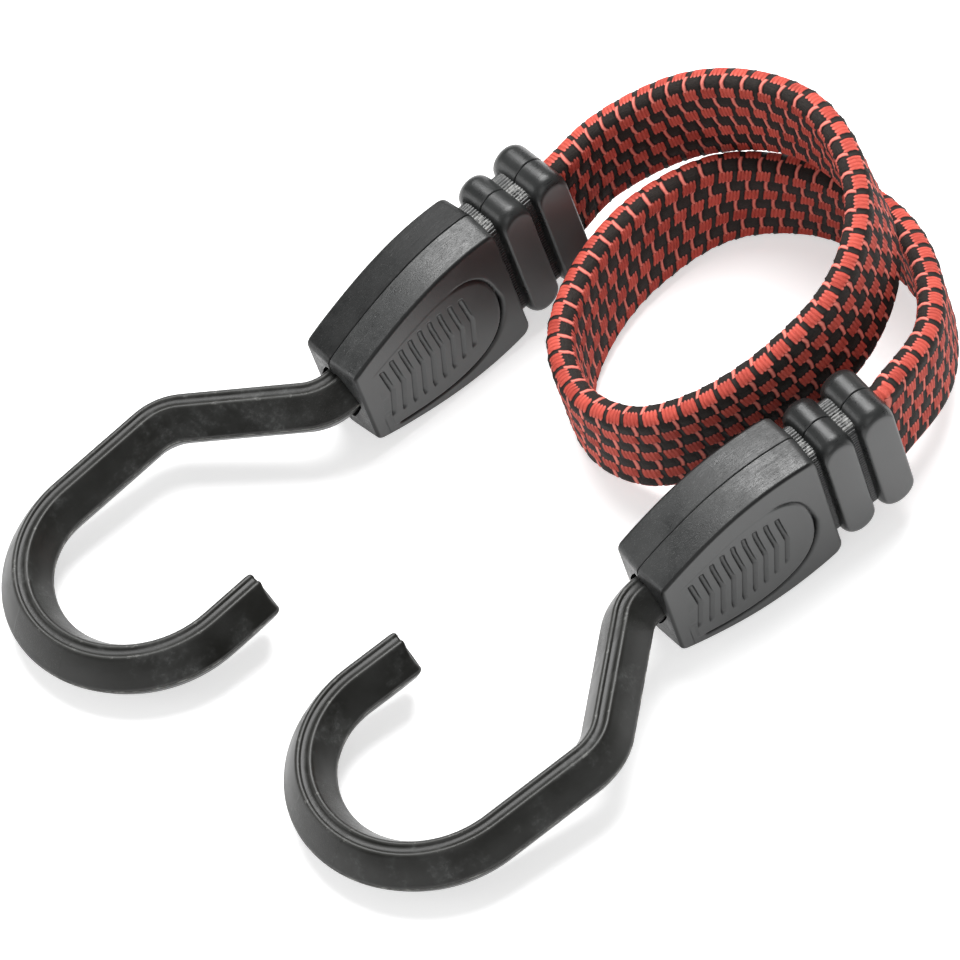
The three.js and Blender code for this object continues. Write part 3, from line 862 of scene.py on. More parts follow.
def prism(section, low, high):
    """A closed bar along X with a section given as (across, up)."""
    bm = bmesh.new()
    edges = ring(bm, [(low, across, up) for across, up in section])
    cap(bm, edges)
    cap(bm, push(bm, edges, (high - low, 0, 0)))
    face_out(bm)
    return bm


def knurled_section():
    """The neck's section with fine ridges that run along the cord."""
    outline = np.array(
        rounded_rectangle(NECK_HALF_THICKNESS, NECK_HALF_HEIGHT, NECK_CORNER, KNURL_CORNER_STEPS),
    )
    closed = np.vstack([outline, outline[:1]])
    run = distances(closed)
    teeth = int(run[-1] / KNURL_PITCH)
    points = teeth * len(KNURL_TOOTH)
    along = np.arange(points) / points * run[-1]
    across = np.interp(along, run, closed[:, 0])
    up = np.interp(along, run, closed[:, 1])
    from_middle = np.hypot(across / NECK_HALF_THICKNESS, up / NECK_HALF_HEIGHT)
    depth = KNURL_DEPTH * np.tile(KNURL_TOOTH, teeth) / np.maximum(from_middle, 0.3)
    across = across * (1 - depth / NECK_HALF_THICKNESS)
    up = up * (1 - depth / NECK_HALF_HEIGHT)
    return list(zip(across, up))


def rib_bmesh(front, width):
    """One rib: rounded above and below in side view, with a flat panel on its broad side."""
    middle = front - width / 2

    def stadium(y, half_width, half_up):
        points = []
        for sign in (1, -1):
            for k in range(RIB_ROUND_STEPS + 1):
                angle = k / RIB_ROUND_STEPS * math.pi
                points.append((
                    middle + sign * half_width * math.cos(angle), y,
                    sign * (half_up - half_width + half_width * math.sin(angle)),
                ))
        return points

    # Rings outwards: the distance from the seam, and how much narrower and lower each one is
    levels = [
        (-1.0, 0, 0),
        (SEAM_HALF, SEAM_EDGE, SEAM_EDGE),
        (SEAM_HALF + 0.14, 0, 0),
        (RIB_CROWN_HALF * 0.5, 0, 0),
    ]
    for k in range(RIB_CROWN_STEPS + 1):
        angle = k / RIB_CROWN_STEPS * math.pi / 2
        y = RIB_CROWN_HALF + (RIB_HALF_THICKNESS - RIB_CROWN_HALF) * math.sin(angle)
        fall = 1 - math.cos(angle)
        levels.append((y, RIB_EDGE * fall, (RIB_HALF_HEIGHT - RIB_PANEL_HALF_HEIGHT) * fall))
    bm = bmesh.new()
    edges = None
    for y, narrower, lower in levels:
        points = stadium(y, width / 2 - narrower, RIB_HALF_HEIGHT - lower)
        if edges is None:
            edges = ring(bm, points)
            cap(bm, edges)
        else:
            edges = push(bm, edges)
        place_ring(edges, points)
    cap(bm, edges)
    face_out(bm)
    return bm


def place_ring(edges, points):
    """Moves a loop's vertices to the points, matched by their order round the loop."""
    verts = loop_verts(edges)
    centre = sum((Vector(point) for point in points), Vector()) / len(points)
    middle = sum((vert.co for vert in verts), Vector()) / len(verts)

    def angle(place, about):
        return math.atan2(place[2] - about[2], place[0] - about[0])

    verts.sort(key=lambda vert: angle(vert.co, middle))
    for vert, point in zip(verts, sorted(points, key=lambda point: angle(point, centre))):
        vert.co = point


def collar_bmesh():
    """The near half of the collar: flange, knurled neck and two ribs, with the strap's slot."""
    neck = prism(knurled_section(), NECK_REAR, NECK_FRONT)
    flange_section = rounded_rectangle(NECK_HALF_THICKNESS, FLANGE_HALF_HEIGHT, NECK_CORNER)
    flange = prism(flange_section, FLANGE_REAR, FLANGE_FRONT)
    ribs = [rib_bmesh(front, width) for front, width in RIBS_AT]
    body = joined_with(neck, [flange, *ribs], "UNION")
    return joined_with(body, [block(*STRAP_CUT), block(*FAR_SIDE_CUT)], "DIFFERENCE")


def mirror(bm):
    """Turns a near half into a far half."""
    bmesh.ops.scale(bm, vec=(1, -1, 1), verts=bm.verts)
    bmesh.ops.reverse_faces(bm, faces=bm.faces)


def fitting_halves(make):
    """Each fitting's two halves, with the end's name and the side, from what makes a near one."""
    for end_name in ENDS:
        for side in ("near", "far"):
            bm = make()
            if side == "far":
                mirror(bm)
            yield end_name, side, bm


# Strap

STRAP_HALF_WIDTH = 9.7
STRAP_HALF_THICKNESS = 2.4
STRAP_EDGE = 2.1
COVER_WALL = 0.8
STRAND_RADIUS = 1.25
STRAND_PITCH = 3.55
STRAND_STEP = 2.0
STRAND_SIDES = 16
ROWS_AROUND = 18
RIM_ROW_OUTWARD = 1.15
STEPS_PER_REPEAT = 8
STEPS_AROUND = 108
STEPS_PER_LINING = 10

# Steps between two places of the route, and how many steps a direction is averaged over
LINE_STEPS = 24
SOFTEN_OVER = 9

# The section's own points: steps round a corner and between these, and a short way either side of one
CORNER_STEPS = 24
STEPS_BETWEEN = 40
NUDGE = 0.05

# How far from the strap's end the weave begins to stand out and does so in full, hidden in the collar
WEAVE_BEGINS = (30, 36)
WEAVE_SUNK = 0.8
OPENING_REACH = 15.0


def axis_place(end, x):
    """A place on a fitting's axis."""
    flat = x * math.cos(DIP)
    return np.array([
        end["x"] + flat * math.cos(end["heading"]),
        end["y"] + flat * math.sin(end["heading"]),
        FRONT_FACE_HEIGHT - x * math.sin(DIP),
    ])


def smooth_line(points, leans):
    """The centripetal curve through the points, with each place's lean."""
    points = np.array(points, float)
    padded = np.vstack([2 * points[0] - points[1], points, 2 * points[-1] - points[-2]])
    places, lean_at = [], []
    for i in range(len(points) - 1):
        p0, p1, p2, p3 = padded[i:i + 4]
        d0, d1, d2 = (np.linalg.norm(b - a) ** 0.5 for a, b in ((p0, p1), (p1, p2), (p2, p3)))
        t1 = ((p1 - p0) / d0 - (p2 - p0) / (d0 + d1) + (p2 - p1) / d1) * d1
        t2 = ((p2 - p1) / d1 - (p3 - p1) / (d1 + d2) + (p3 - p2) / d2) * d1
        for k in range(LINE_STEPS):
            share = k / LINE_STEPS
            places.append(
                p1 + t1 * share + (3 * p2 - 3 * p1 - 2 * t1 - t2) * share**2
                + (2 * p1 - 2 * p2 + t1 + t2) * share**3
            )
            lean_at.append(leans[i] + (leans[i + 1] - leans[i]) * share)
    places.append(points[-1])
    lean_at.append(leans[-1])
    return np.array(places), np.array(lean_at)


def strap_line():
    """Points close together along the strap's middle, from end to end, and their leans."""
    left, right = ENDS["left"], ENDS["right"]
    between = [row[:3] for row in ROUTE]
    points = [axis_place(left, COLLAR_MOUTH), *between, axis_place(right, COLLAR_MOUTH)]
    leans = [left["roll"], *[math.radians(row[3]) for row in ROUTE], -right["roll"]]
    middle, lean = smooth_line(points, leans)
    lead = np.linspace(STRAP_END, COLLAR_MOUTH, LINE_STEPS)[:-1]
    start = np.array([axis_place(left, x) for x in lead])
    end = np.array([axis_place(right, x) for x in lead[::-1]])
    straight = np.ones(len(lead))
    return np.vstack([start, middle, end]), np.r_[straight * leans[0], lean, straight * leans[-1]]


def softened(values):
    """The values, each averaged with its neighbours."""
    window = np.hanning(SOFTEN_OVER)
    padded = np.pad(values, SOFTEN_OVER // 2, mode="edge")
    return np.convolve(padded, window / window.sum(), mode="valid")


def strap_frames(spacing):
    """Even steps along the strap: place, side and up direction, and distance."""
    line, lean = strap_line()
    along = distances(line)
    at = np.linspace(0, along[-1], int(round(along[-1] / spacing)) + 1)
    place = np.column_stack([np.interp(at, along, line[:, k]) for k in range(3)])
    tangent = np.gradient(place, axis=0)
    tangent = np.column_stack([softened(tangent[:, k]) for k in range(3)])
    tangent /= np.linalg.norm(tangent, axis=1)[:, None]
    side = np.column_stack([-tangent[:, 1], tangent[:, 0], np.zeros(len(at))])
    side /= np.linalg.norm(side, axis=1)[:, None]
    up = np.cross(tangent, side)
    angle = softened(np.interp(at, along, lean))[:, None]
    leaned_side = side * np.cos(angle) - up * np.sin(angle)
    leaned_up = up * np.cos(angle) + side * np.sin(angle)
    return place, leaned_side, leaned_up, at


def spread(place, side, up, across, height):
    """The points of a section at every step along the strap."""
    return place[:, None, :] + side[:, None, :] * across[..., None] + up[:, None, :] * height[..., None]


def strap_section(rows):
    """Place and outward direction on the strap's section, by rows counted from the upper rim."""
    outline = np.array(
        rounded_rectangle(STRAP_HALF_THICKNESS, STRAP_HALF_WIDTH, STRAP_EDGE, CORNER_STEPS),
    )
    shares = np.linspace(0, 1, STEPS_BETWEEN, endpoint=False)[:, None]
    dense = np.vstack([a + (b - a) * shares for a, b in zip(outline, np.roll(outline, -1, axis=0))])
    order = np.arctan2(dense[:, 0], dense[:, 1])
    dense = dense[np.argsort(order, kind="stable")]
    closed = np.vstack([dense, dense[:1]])
    run = distances(closed)
    top = np.interp(0, np.unwrap(np.arctan2(closed[:, 0], closed[:, 1])), run)
    wanted = np.asarray(rows) / ROWS_AROUND * run[-1] + top + RIM_ROW_OUTWARD

    def place(at):
        at = at % run[-1]
        return np.array([np.interp(at, run, closed[:, k]) for k in range(2)])

    across, up = place(wanted)
    d_across, d_up = place(wanted + NUDGE) - place(wanted - NUDGE)
    length = np.hypot(d_across, d_up)
    return across, up, -d_up / length, d_across / length


def strap_bmesh(repeat, relief):
    """The woven cover: a grid rolled round the strap's section, raised yarn by yarn, and lined."""
    place, side, up, at = strap_frames(repeat / STEPS_PER_REPEAT)
    rows = np.linspace(-ROWS_AROUND / 2, ROWS_AROUND / 2, STEPS_AROUND + 1)
    across, height, out_across, out_up = strap_section(rows)
    pattern = weave(*np.meshgrid(at / repeat, rows, indexing="ij"))
    lift = (
        pattern["red"] * (0.35 + 0.55 * pattern["block_height"])
        + pattern["stub"] * (0.25 + 0.5 * pattern["stub_height"])
        + pattern["lump"] * 0.95
        + pattern["bar"] * 0.3
    ) * relief
    shown = np.interp(np.minimum(at, at[-1] - at), WEAVE_BEGINS, (0, 1))[:, None]
    lift = (lift - relief * WEAVE_SUNK) * shown - relief * (1 - shown)
    outer = spread(place, side, up, across + out_across * lift, height + out_up * lift)
    bm = rolled_sheet(outer, at[-1] / repeat, ROWS_AROUND)

    every = np.linspace(0, len(at) - 1, len(at) // STEPS_PER_LINING).round().astype(int)
    inner_across = across * (1 - COVER_WALL / STRAP_HALF_THICKNESS)
    inner_height = height * (1 - COVER_WALL / STRAP_HALF_WIDTH)
    inner = rolled_sheet(spread(place[every], side[every], up[every], inner_across, inner_height), 1, 1)
    mesh = bpy.data.meshes.new("lining")
    inner.to_mesh(mesh)
    inner.free()
    bm.from_mesh(mesh)
    bpy.data.meshes.remove(mesh)
    for end in (place[0], place[-1]):
        bmesh.ops.bridge_loops(bm, edges=open_edges(bm, end))
    face_out(bm)
    bmesh.ops.scale(bm, vec=(MM, MM, MM), verts=bm.verts)
    return bm, place


def open_edges(bm, place):
    """The edges of the opening round one end of the strap."""
    return [
        edge for edge in bm.edges
        if edge.is_boundary and (edge.verts[0].co - Vector(place)).length < OPENING_REACH
    ]


def rolled_sheet(targets, length, width):
    """A grid laid on rows of points, its long edges welded, with a map of the given size."""
    steps, around = targets.shape[0] - 1, targets.shape[1] - 1
    bm = bmesh.new()
    uv = bm.loops.layers.uv.new("weave")
    grid = bmesh.ops.create_grid(bm, x_segments=steps, y_segments=around, size=1, calc_uvs=True)["verts"]
    flat = np.array([vert.co[:2] for vert in grid])
    i = np.rint((flat[:, 0] + 1) / 2 * steps).astype(int)
    j = np.rint((flat[:, 1] + 1) / 2 * around).astype(int)
    for vert, target in zip(grid, targets[i, j]):
        vert.co = target
    for face in bm.faces:
        for loop in face.loops:
            share = loop[uv].uv
            share.x = share.x * length
            share.y = (share.y - 0.5) * width
    bmesh.ops.remove_doubles(bm, verts=bm.verts, dist=1e-4)
    return bm


def strand_bmesh(height):
    """One round rubber strand along the inside of the cover, at its height from the strap's middle."""
    place, side, up, _ = strap_frames(STRAND_STEP)
    angles = np.linspace(0, 2 * math.pi, STRAND_SIDES + 1)
    across, above = STRAND_RADIUS * np.sin(angles), height + STRAND_RADIUS * np.cos(angles)
    bm = rolled_sheet(spread(place, side, up, across, above), 1, 1)
    for end in (place[0], place[-1]):
        cap(bm, open_edges(bm, end))
    face_out(bm)
    bmesh.ops.scale(bm, vec=(MM, MM, MM), verts=bm.verts)
    return bm


# Materials

# Thin painted highlights along the hooks' flash and ridge crests
HIGHLIGHT_LINE_COLOUR = (0.34, 0.34, 0.32)
# Painted shade in the housings' grooves, slots and rims, and over a shaded half shell
PAINTED_SHADE_COLOUR = (0.003, 0.003, 0.003)
PANEL_COLOUR = (0.105, 0.107, 0.107)
SCUFF_COLOUR = (0.3, 0.3, 0.29)
RUBBER_COLOUR = (0.5, 0.42, 0.3)
STEEL_COLOUR = (0.62, 0.62, 0.63)
PAPER_COLOUR = (0.86, 0.86, 0.86)

# Depths of the finest relief, which the materials give
PLASTIC_GRAIN = 0.022
YARN_GRAIN = 0.28
RUBBER_GRAIN = 0.05
STEEL_GRAIN = 0.02


def material(name):
    made = bpy.data.materials.new(name)
    made.use_nodes = True
    return made, made.node_tree, made.node_tree.nodes["Principled BSDF"]


def noise(tree, vector, scale, detail=2.0, roughness=0.5):
    step = tree.nodes.new("ShaderNodeTexNoise")
    step.inputs["Scale"].default_value = scale
    step.inputs["Detail"].default_value = detail
    step.inputs["Roughness"].default_value = roughness
    tree.links.new(vector, step.inputs["Vector"])
    return Wire(tree, step.outputs["Fac"])


def mapped(tree, vector, scale):
    step = tree.nodes.new("ShaderNodeMapping")
    step.inputs["Scale"].default_value = scale
    tree.links.new(vector, step.inputs["Vector"])
    return step.outputs["Vector"]


def mix_colour(tree, share, low, high):
    """A colour between two, each an RGB triple or another mix's output."""
    step = tree.nodes.new("ShaderNodeMix")
    step.data_type = "RGBA"
    sockets = [socket for socket in step.inputs if socket.type == "RGBA"]
    factor = next(socket for socket in step.inputs if socket.name == "Factor" and socket.type == "VALUE")
    tree.links.new(share.socket, factor)
    for socket, colour in zip(sockets, (low, high)):
        if isinstance(colour, bpy.types.NodeSocket):
            tree.links.new(colour, socket)
        else:
            socket.default_value = (*colour, 1)
    return next(socket for socket in step.outputs if socket.type == "RGBA")


def darker(colour, share):
    return tuple(part * share for part in colour)


def bump(tree, shader, height, depth, strength):
    """Raises the surface by a wire's number, its full depth given in millimetres."""
    step = tree.nodes.new("ShaderNodeBump")
    step.inputs["Distance"].default_value = depth * MM
    step.inputs["Strength"].default_value = strength
    tree.links.new(height.socket, step.inputs["Height"])
    tree.links.new(step.outputs["Normal"], shader.inputs["Normal"])


def attribute(tree, name):
    """What a piece's vertices note under a name."""
    step = tree.nodes.new("ShaderNodeAttribute")
    step.attribute_name = name
    return step.outputs


def object_space(tree):
    return tree.nodes.new("ShaderNodeTexCoord").outputs["Object"]


def parts_of(tree, vector):
    step = tree.nodes.new("ShaderNodeSeparateXYZ")
    tree.links.new(vector, step.inputs[0])
    return [Wire(tree, step.outputs[k]) for k in range(3)]


def moulded_black(name, colour, worn_and_sheen, roughness, gloss, grain, scratch):
    """Black moulded plastic with flow marks, fine grain and drag lines along the fitting.

    The drag lines and marks lie on the narrow faces, and scratch gives their strength.
    """
    made, tree, shader = material(name)
    vector = attribute(tree, "mould")["Vector"]
    _, y, _ = parts_of(tree, vector)
    narrow = 1.0 - rise(size_of(y), 5.9, 6.3)
    cloud = noise(tree, vector, 0.14, 3.0)
    fine = noise(tree, vector, 4.2, 3.0, 0.7)
    drag = noise(tree, mapped(tree, vector, (0.24, 4.5, 4.5)), 1.0, 3.0, 0.65)
    streak = noise(tree, mapped(tree, vector, (0.5, 6.0, 6.0)), 1.0, 1.0)
    mark = rise(streak, 0.64, 0.72) * narrow * scratch
    speck = rise(noise(tree, vector, 2.6, 2.0, 0.6), 0.6, 0.7) * narrow * scratch
    blotch = noise(tree, vector, 0.55, 4.0, 0.72)
    uneven = (cloud - 0.5) * 0.35 + (blotch - 0.5) * 0.4 + (drag - 0.5) * 0.5
    return {
        "made": made, "tree": tree, "shader": shader, "vector": vector, "narrow": narrow,
        "base": mix_colour(tree, limited((cloud - 0.35) * 0.5 + mark * 0.6), colour, worn_and_sheen),
        "dull": roughness + 0.03 * narrow + (cloud - 0.5) * 0.15 + uneven * narrow * scratch,
        "gloss": gloss,
        "height": (
            fine * (0.35 + 1.3 * narrow) * grain
            + drag * narrow * scratch * 2.0 + mark * 0.3 - speck * 0.8
        ),
    }


def finish_plastic(parts):
    """Joins the parts of a moulded plastic to its shader."""
    tree, shader = parts["tree"], parts["shader"]
    tree.links.new(parts["base"], shader.inputs["Base Color"])
    tree.links.new(parts["dull"].socket, shader.inputs["Roughness"])
    gloss = shader.inputs["Specular IOR Level"]
    if isinstance(parts["gloss"], Wire):
        tree.links.new(parts["gloss"].socket, gloss)
    else:
        gloss.default_value = parts["gloss"]
    bump(tree, shader, parts["height"], PLASTIC_GRAIN, 1.0)
    return parts["made"]


def hook_plastic(settings):
    """Black plastic with scuffed patches, and thin painted highlights along the flash on its parting
    line and along its ridge crests.
    """
    parts = moulded_black(
        "hook_plastic", settings.hook, settings.worn_and_sheen,
        roughness=0.35, gloss=0.32, grain=0.5, scratch=0.5,
    )
    tree, vector = parts["tree"], parts["vector"]
    _, _, z = parts_of(tree, vector)
    uneven = noise(tree, vector, 0.35, 3.0, 0.6)
    # A painted highlight along the flash on the parting line
    fin = rise(size_of(z), 0.24, 0.1) * (0.2 + rise(uneven, 0.42, 0.66) * 0.6)
    nick = rise(noise(tree, vector, 0.6, 3.0, 0.7), 0.6, 0.68)
    # A painted highlight along the ridge crests, brighter in short lengths
    ridge = rise(size_of(size_of(z) - 5.42), 0.1, 0.04) * (0.05 + nick * 0.2)
    patch = rise(noise(tree, vector, 0.11, 4.0, 0.68), 0.5, 0.66)
    mottle = rise(noise(tree, vector, 1.1, 4.0, 0.75), 0.46, 0.68)
    parts["base"] = mix_colour(tree, patch * (0.25 + mottle * 0.6), parts["base"], settings.worn_and_sheen)
    parts["base"] = mix_colour(tree, fin + ridge, parts["base"], HIGHLIGHT_LINE_COLOUR)
    parts["dull"] = parts["dull"] + patch * 0.1
    return finish_plastic(parts)


def housing_plastic(settings):
    """Black plastic with painted shade in its grooves and slots and on its rims, and a painted highlight
    on top of the left housing's rear.
    """
    parts = moulded_black(
        "housing_plastic", settings.housing, settings.worn_and_sheen,
        roughness=0.41, gloss=0.75, grain=0.8, scratch=1.0,
    )
    tree, vector = parts["tree"], parts["vector"]
    # Painted shade: darker colour and less reflection in the grooves, slots and rims
    painted_shade = Wire(tree, attribute(tree, "painted_shade")["Fac"])
    parts["base"] = mix_colour(tree, painted_shade, parts["base"], PAINTED_SHADE_COLOUR)
    parts["gloss"] = 0.76 - parts["narrow"] * 0.14 - painted_shade * 0.6
    x, y, z = parts_of(tree, vector)
    # A painted highlight, broken by grit, on the near half of the left housing's top towards its rear
    painted_sheen = rise(x, -13.0, -25.0) * rise(y, 0.1, 0.5) * rise(z, 5.0, 7.0) * parts["narrow"]
    grit = 0.3 + 0.7 * rise(noise(tree, vector, 2.2, 4.0, 0.75), 0.4, 0.64)
    parts["base"] = mix_colour(tree, painted_sheen * grit * 0.42, parts["base"], settings.worn_and_sheen)
    return finish_plastic(parts)


def collar_plastic(settings):
    """Black plastic, paler on the flat panels and scuffed on top of the knurled neck."""
    parts = moulded_black(
        "collar_plastic", settings.collar, settings.worn_and_sheen,
        roughness=0.28, gloss=0.42, grain=0.5, scratch=0.4,
    )
    tree, vector = parts["tree"], parts["vector"]
    x, y, z = parts_of(tree, vector)
    x = x - rise(x, 40.0, 50.0) * ENDS["right"]["offset"]
    panel = rise(size_of(y), 6.2, 6.36)
    front_gap = band(x, -34.5, -34.3, -30.8, -30.6)
    rear_gap = band(x, -42.5, -42.3, -40.5, -40.3)
    neck = band(size_of(z), 10.7, 10.9, 11.2, 11.3) * most(front_gap, rear_gap)
    near_side = 0.2 + 0.8 * band(y, -1.0, 0.6, 3.6, 4.6)
    scuff = neck * near_side * rise(noise(tree, vector, 1.3, 3.0, 0.75), 0.4, 0.58) * 0.8
    parts["base"] = mix_colour(tree, panel * 0.8, parts["base"], PANEL_COLOUR)
    parts["base"] = mix_colour(tree, scuff, parts["base"], SCUFF_COLOUR)
    parts["dull"] = parts["dull"] + panel * 0.12
    return finish_plastic(parts)


def own_number(tree, first, second):
    """A number from -0.5 to 0.5 that each pair of whole numbers has to itself."""
    cell = tree.nodes.new("ShaderNodeCombineXYZ")
    each = tree.nodes.new("ShaderNodeTexWhiteNoise")
    each.noise_dimensions = "2D"
    tree.links.new(first.socket, cell.inputs[0])
    tree.links.new(second.socket, cell.inputs[1])
    tree.links.new(cell.outputs[0], each.inputs["Vector"])
    return Wire(tree, each.outputs["Value"]) - 0.5


def woven_cover(settings):
    """Red and black yarns, laid by the cover's own map of repeats and rows, with painted shade between
    ribs and yarns and painted highlights on their crowns.
    """
    made, tree, shader = material("woven_cover")
    step = tree.nodes.new("ShaderNodeUVMap")
    step.uv_map = "weave"
    woven_map = step.outputs["UV"]
    along, around, _ = parts_of(tree, woven_map)
    space = object_space(tree)
    wobble = (noise(tree, space, 900.0, 2.0) - 0.5) * 0.09
    pattern = weave(along + wobble, around + wobble * 1.6)
    red, stub, lump, bar = (pattern[key] for key in ("red", "stub", "lump", "bar"))
    crown, toward_end = pattern["rib_crown"], pattern["toward_end"]
    tint = noise(tree, space, 260.0, 2.0)
    red_fibre = noise(tree, mapped(tree, woven_map, (26, 2.2, 1)), 1.0, 2.0, 0.7)
    black_fibre = noise(tree, mapped(tree, woven_map, (3.0, 17, 1)), 1.0, 2.0, 0.7)
    fuzz = noise(tree, space, 4200.0, 2.0, 0.7)
    own = own_number(tree, pattern["block"], pattern["red_row"])

    # Painted shade in the valleys between the red yarn's ribs, deepest towards the block ends; the rest
    # of block_light is the yarn's own uneven tone
    valley_shade = (1.0 - crown) * (1.0 - crown) * (0.28 + 0.66 * toward_end)
    block_light = 0.8 - valley_shade * 0.62 + (tint - 0.5) * 0.7 + own * 0.3 + (red_fibre - 0.5) * 1.2
    red_colour = mix_colour(tree, limited(block_light), settings.deep_red_and_shade, settings.red)
    # Painted highlight on the red yarn's rib crowns, stronger towards the block ends, where the yarn is
    # also pinker
    pale = crown * (0.12 + 0.6 * toward_end + own * 0.16) * (0.3 + red_fibre * 0.9)
    red_colour = mix_colour(tree, limited(pale), red_colour, settings.pink_and_highlight)
    # Painted sheen along the black lumps' crowns, streaked by the fibres, and painted shade at their
    # edges
    black_light = lump * (black_fibre * 2.4 - 0.6)
    black_colour = mix_colour(tree, limited(black_light), darker(settings.black, 0.3), settings.black)
    # Painted shade in the gaps between the yarns; the bars between the blocks keep close to the black
    # yarn's own colour at their crowns
    bar_and_gap_shade = mix_colour(tree, bar, darker(settings.black, 0.2), darker(settings.black, 0.8))
    ground = mix_colour(tree, least(lump * 3.0, 1.0), bar_and_gap_shade, black_colour)
    # The stubs are pink at their crowns and darken to the deeper red on their flanks as painted shade
    stub_colour = mix_colour(tree, pattern["stub_height"], settings.deep_red_and_shade, settings.pink_and_highlight)
    with_stub = mix_colour(tree, stub, ground, stub_colour)
    cover = mix_colour(tree, red, with_stub, red_colour)
    tree.links.new(cover, shader.inputs["Base Color"])
    shader.inputs["Roughness"].default_value = 0.75
    shader.inputs["Specular IOR Level"].default_value = 0.28
    height = (
        red * (0.55 + 0.2 * crown + red_fibre * 0.5) * pattern["block_height"]
        + stub * (0.4 + 0.5 * pattern["stub_height"])
        + lump * (0.7 + black_fibre * 0.6) + bar * 0.25 + fuzz * 0.2
    )
    bump(tree, shader, height, YARN_GRAIN, 0.8)
    return made


def simple_material(name, colour, roughness, metallic, grain_scale, grain_depth):
    """Plain rubber or metal with a fine grain in its shade and surface."""
    made, tree, shader = material(name)
    grain = noise(tree, object_space(tree), grain_scale, 3.0)
    base = mix_colour(tree, grain, darker(colour, 0.8), colour)
    tree.links.new(base, shader.inputs["Base Color"])
    shader.inputs["Metallic"].default_value = metallic
    dull = roughness + (grain - 0.5) * 0.15
    tree.links.new(dull.socket, shader.inputs["Roughness"])
    bump(tree, shader, grain, grain_depth, 0.6)
    return made


# Settings


def colour_property(name, description, default):
    return bpy.props.FloatVectorProperty(
        name=name, description=description, subtype="COLOR", size=3, default=default, min=0, max=1,
    )


class BungeeStrapSettings(bpy.types.PropertyGroup):
    repeat: bpy.props.FloatProperty(
        name="Repeat", description="Length of one repeat of the weave, in millimetres",
        default=3.55, min=1, max=10,
    )
    relief: bpy.props.FloatProperty(
        name="Relief", description="Height of the yarns over the ground, in millimetres",
        default=0.38, min=0, max=1,
    )
    red: colour_property("Red", "Red yarn where the light meets it", (0.65, 0.092, 0.063))
    # The darker red of the yarn, also used as painted shade between its ribs and on the stubs' flanks
    deep_red_and_shade: colour_property("Deep red", "Red yarn between its ribs", (0.185, 0.012, 0.009))
    # Pink of the yarn's ends, also used as painted highlight on the ribs' and stubs' crowns
    pink_and_highlight: colour_property("Pink", "Ends and crossings of the red yarn", (0.9, 0.25, 0.2))
    black: colour_property("Black", "Black yarn", (0.031, 0.024, 0.021))


class BungeeFittingSettings(bpy.types.PropertyGroup):
    housing: colour_property("Housing", "Colour of the housings' plastic", (0.017, 0.018, 0.018))
    hook: colour_property("Hook", "Colour of the hooks' plastic", (0.0095, 0.0095, 0.008))
    collar: colour_property("Collar", "Colour of the collars' plastic", (0.014, 0.015, 0.015))
    # Colour of scuffed plastic, also used for the painted highlight on the left housing's rear top
    worn_and_sheen: colour_property("Worn", "Colour of scuffed plastic", (0.07, 0.072, 0.07))


class BungeeStageSettings(bpy.types.PropertyGroup):
    lens: bpy.props.FloatProperty(
        name="Lens", description="Focal length in millimetres", default=375, min=20, max=1000,
        unit="CAMERA",
    )
    key_power: bpy.props.FloatProperty(
        name="Key", description="Power of the large lamp above and behind", default=22, min=0,
        subtype="POWER",
    )
    fill_power: bpy.props.FloatProperty(
        name="Fill", description="Power of the soft lamp at the front", default=5, min=0,
        subtype="POWER",
    )
    world_strength: bpy.props.FloatProperty(
        name="Surroundings", description="Strength of the light from all round",
        default=0.32, min=0, max=2,
    )


# Pieces


def place_fitting_piece(
    end_name, node, bm, made, sharp, roll=0.0, lift=0.0, front=0.0, rear=0.0, sunk=0.0,
):
    """Lays a fitting's piece, rolled on the fitting's axis, and has it stand for its solid."""
    end = ENDS[end_name]
    keep_mould_places(bm, end)
    swell_rear(bm, end, lift)
    draw_out(bm, front, rear)
    bmesh.ops.rotate(bm, cent=(0, 0, 0), matrix=Matrix.Rotation(roll, 3, "X"), verts=bm.verts)
    to_place(end, bm)
    keep_on_floor(bm, sunk)
    piece = finish_mesh(f"{node}_piece", bm, made, sharp)
    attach(piece, "root")
    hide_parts(node)
    return piece


class BungeeHooks(bpy.types.Operator):
    """Sweep both hooks and lay them in place"""
    bl_idname = "bungee.hooks"
    bl_label = "Hooks"

    def execute(self, context):
        made = hook_plastic(context.scene.bungee_fittings)
        for end_name, end in ENDS.items():
            bm = hook_bmesh(end["kink"])
            play = Matrix.Rotation(end["hook_play"], 3, "Z")
            bmesh.ops.rotate(bm, cent=(-EYE_FROM_FRONT, 0, 0), matrix=play, verts=bm.verts)
            piece = place_fitting_piece(end_name, f"{end_name}_hook", bm, made, HOOK_SHARP)
        return {"FINISHED"}


class BungeeHousings(bpy.types.Operator):
    """Mould the four half shells of the housings"""
    bl_idname = "bungee.housings"
    bl_label = "Housings"

    def execute(self, context):
        made = housing_plastic(context.scene.bungee_fittings)
        for end_name, side, bm in fitting_halves(housing_bmesh):
            end = ENDS[end_name]
            # The far half of a fitting whose far half lies in shade gets painted shade all over
            keep_painted_shade(bm, end["shaded_far_half"] if side == "far" else 0.0)
            piece = place_fitting_piece(
                end_name, f"{end_name}_housing_{side}", bm, made, HOUSING_SHARP, end["roll"],
                front=FRONT_REACH, rear=end["housing_reach"], sunk=end["sunk"],
            )
        return {"FINISHED"}


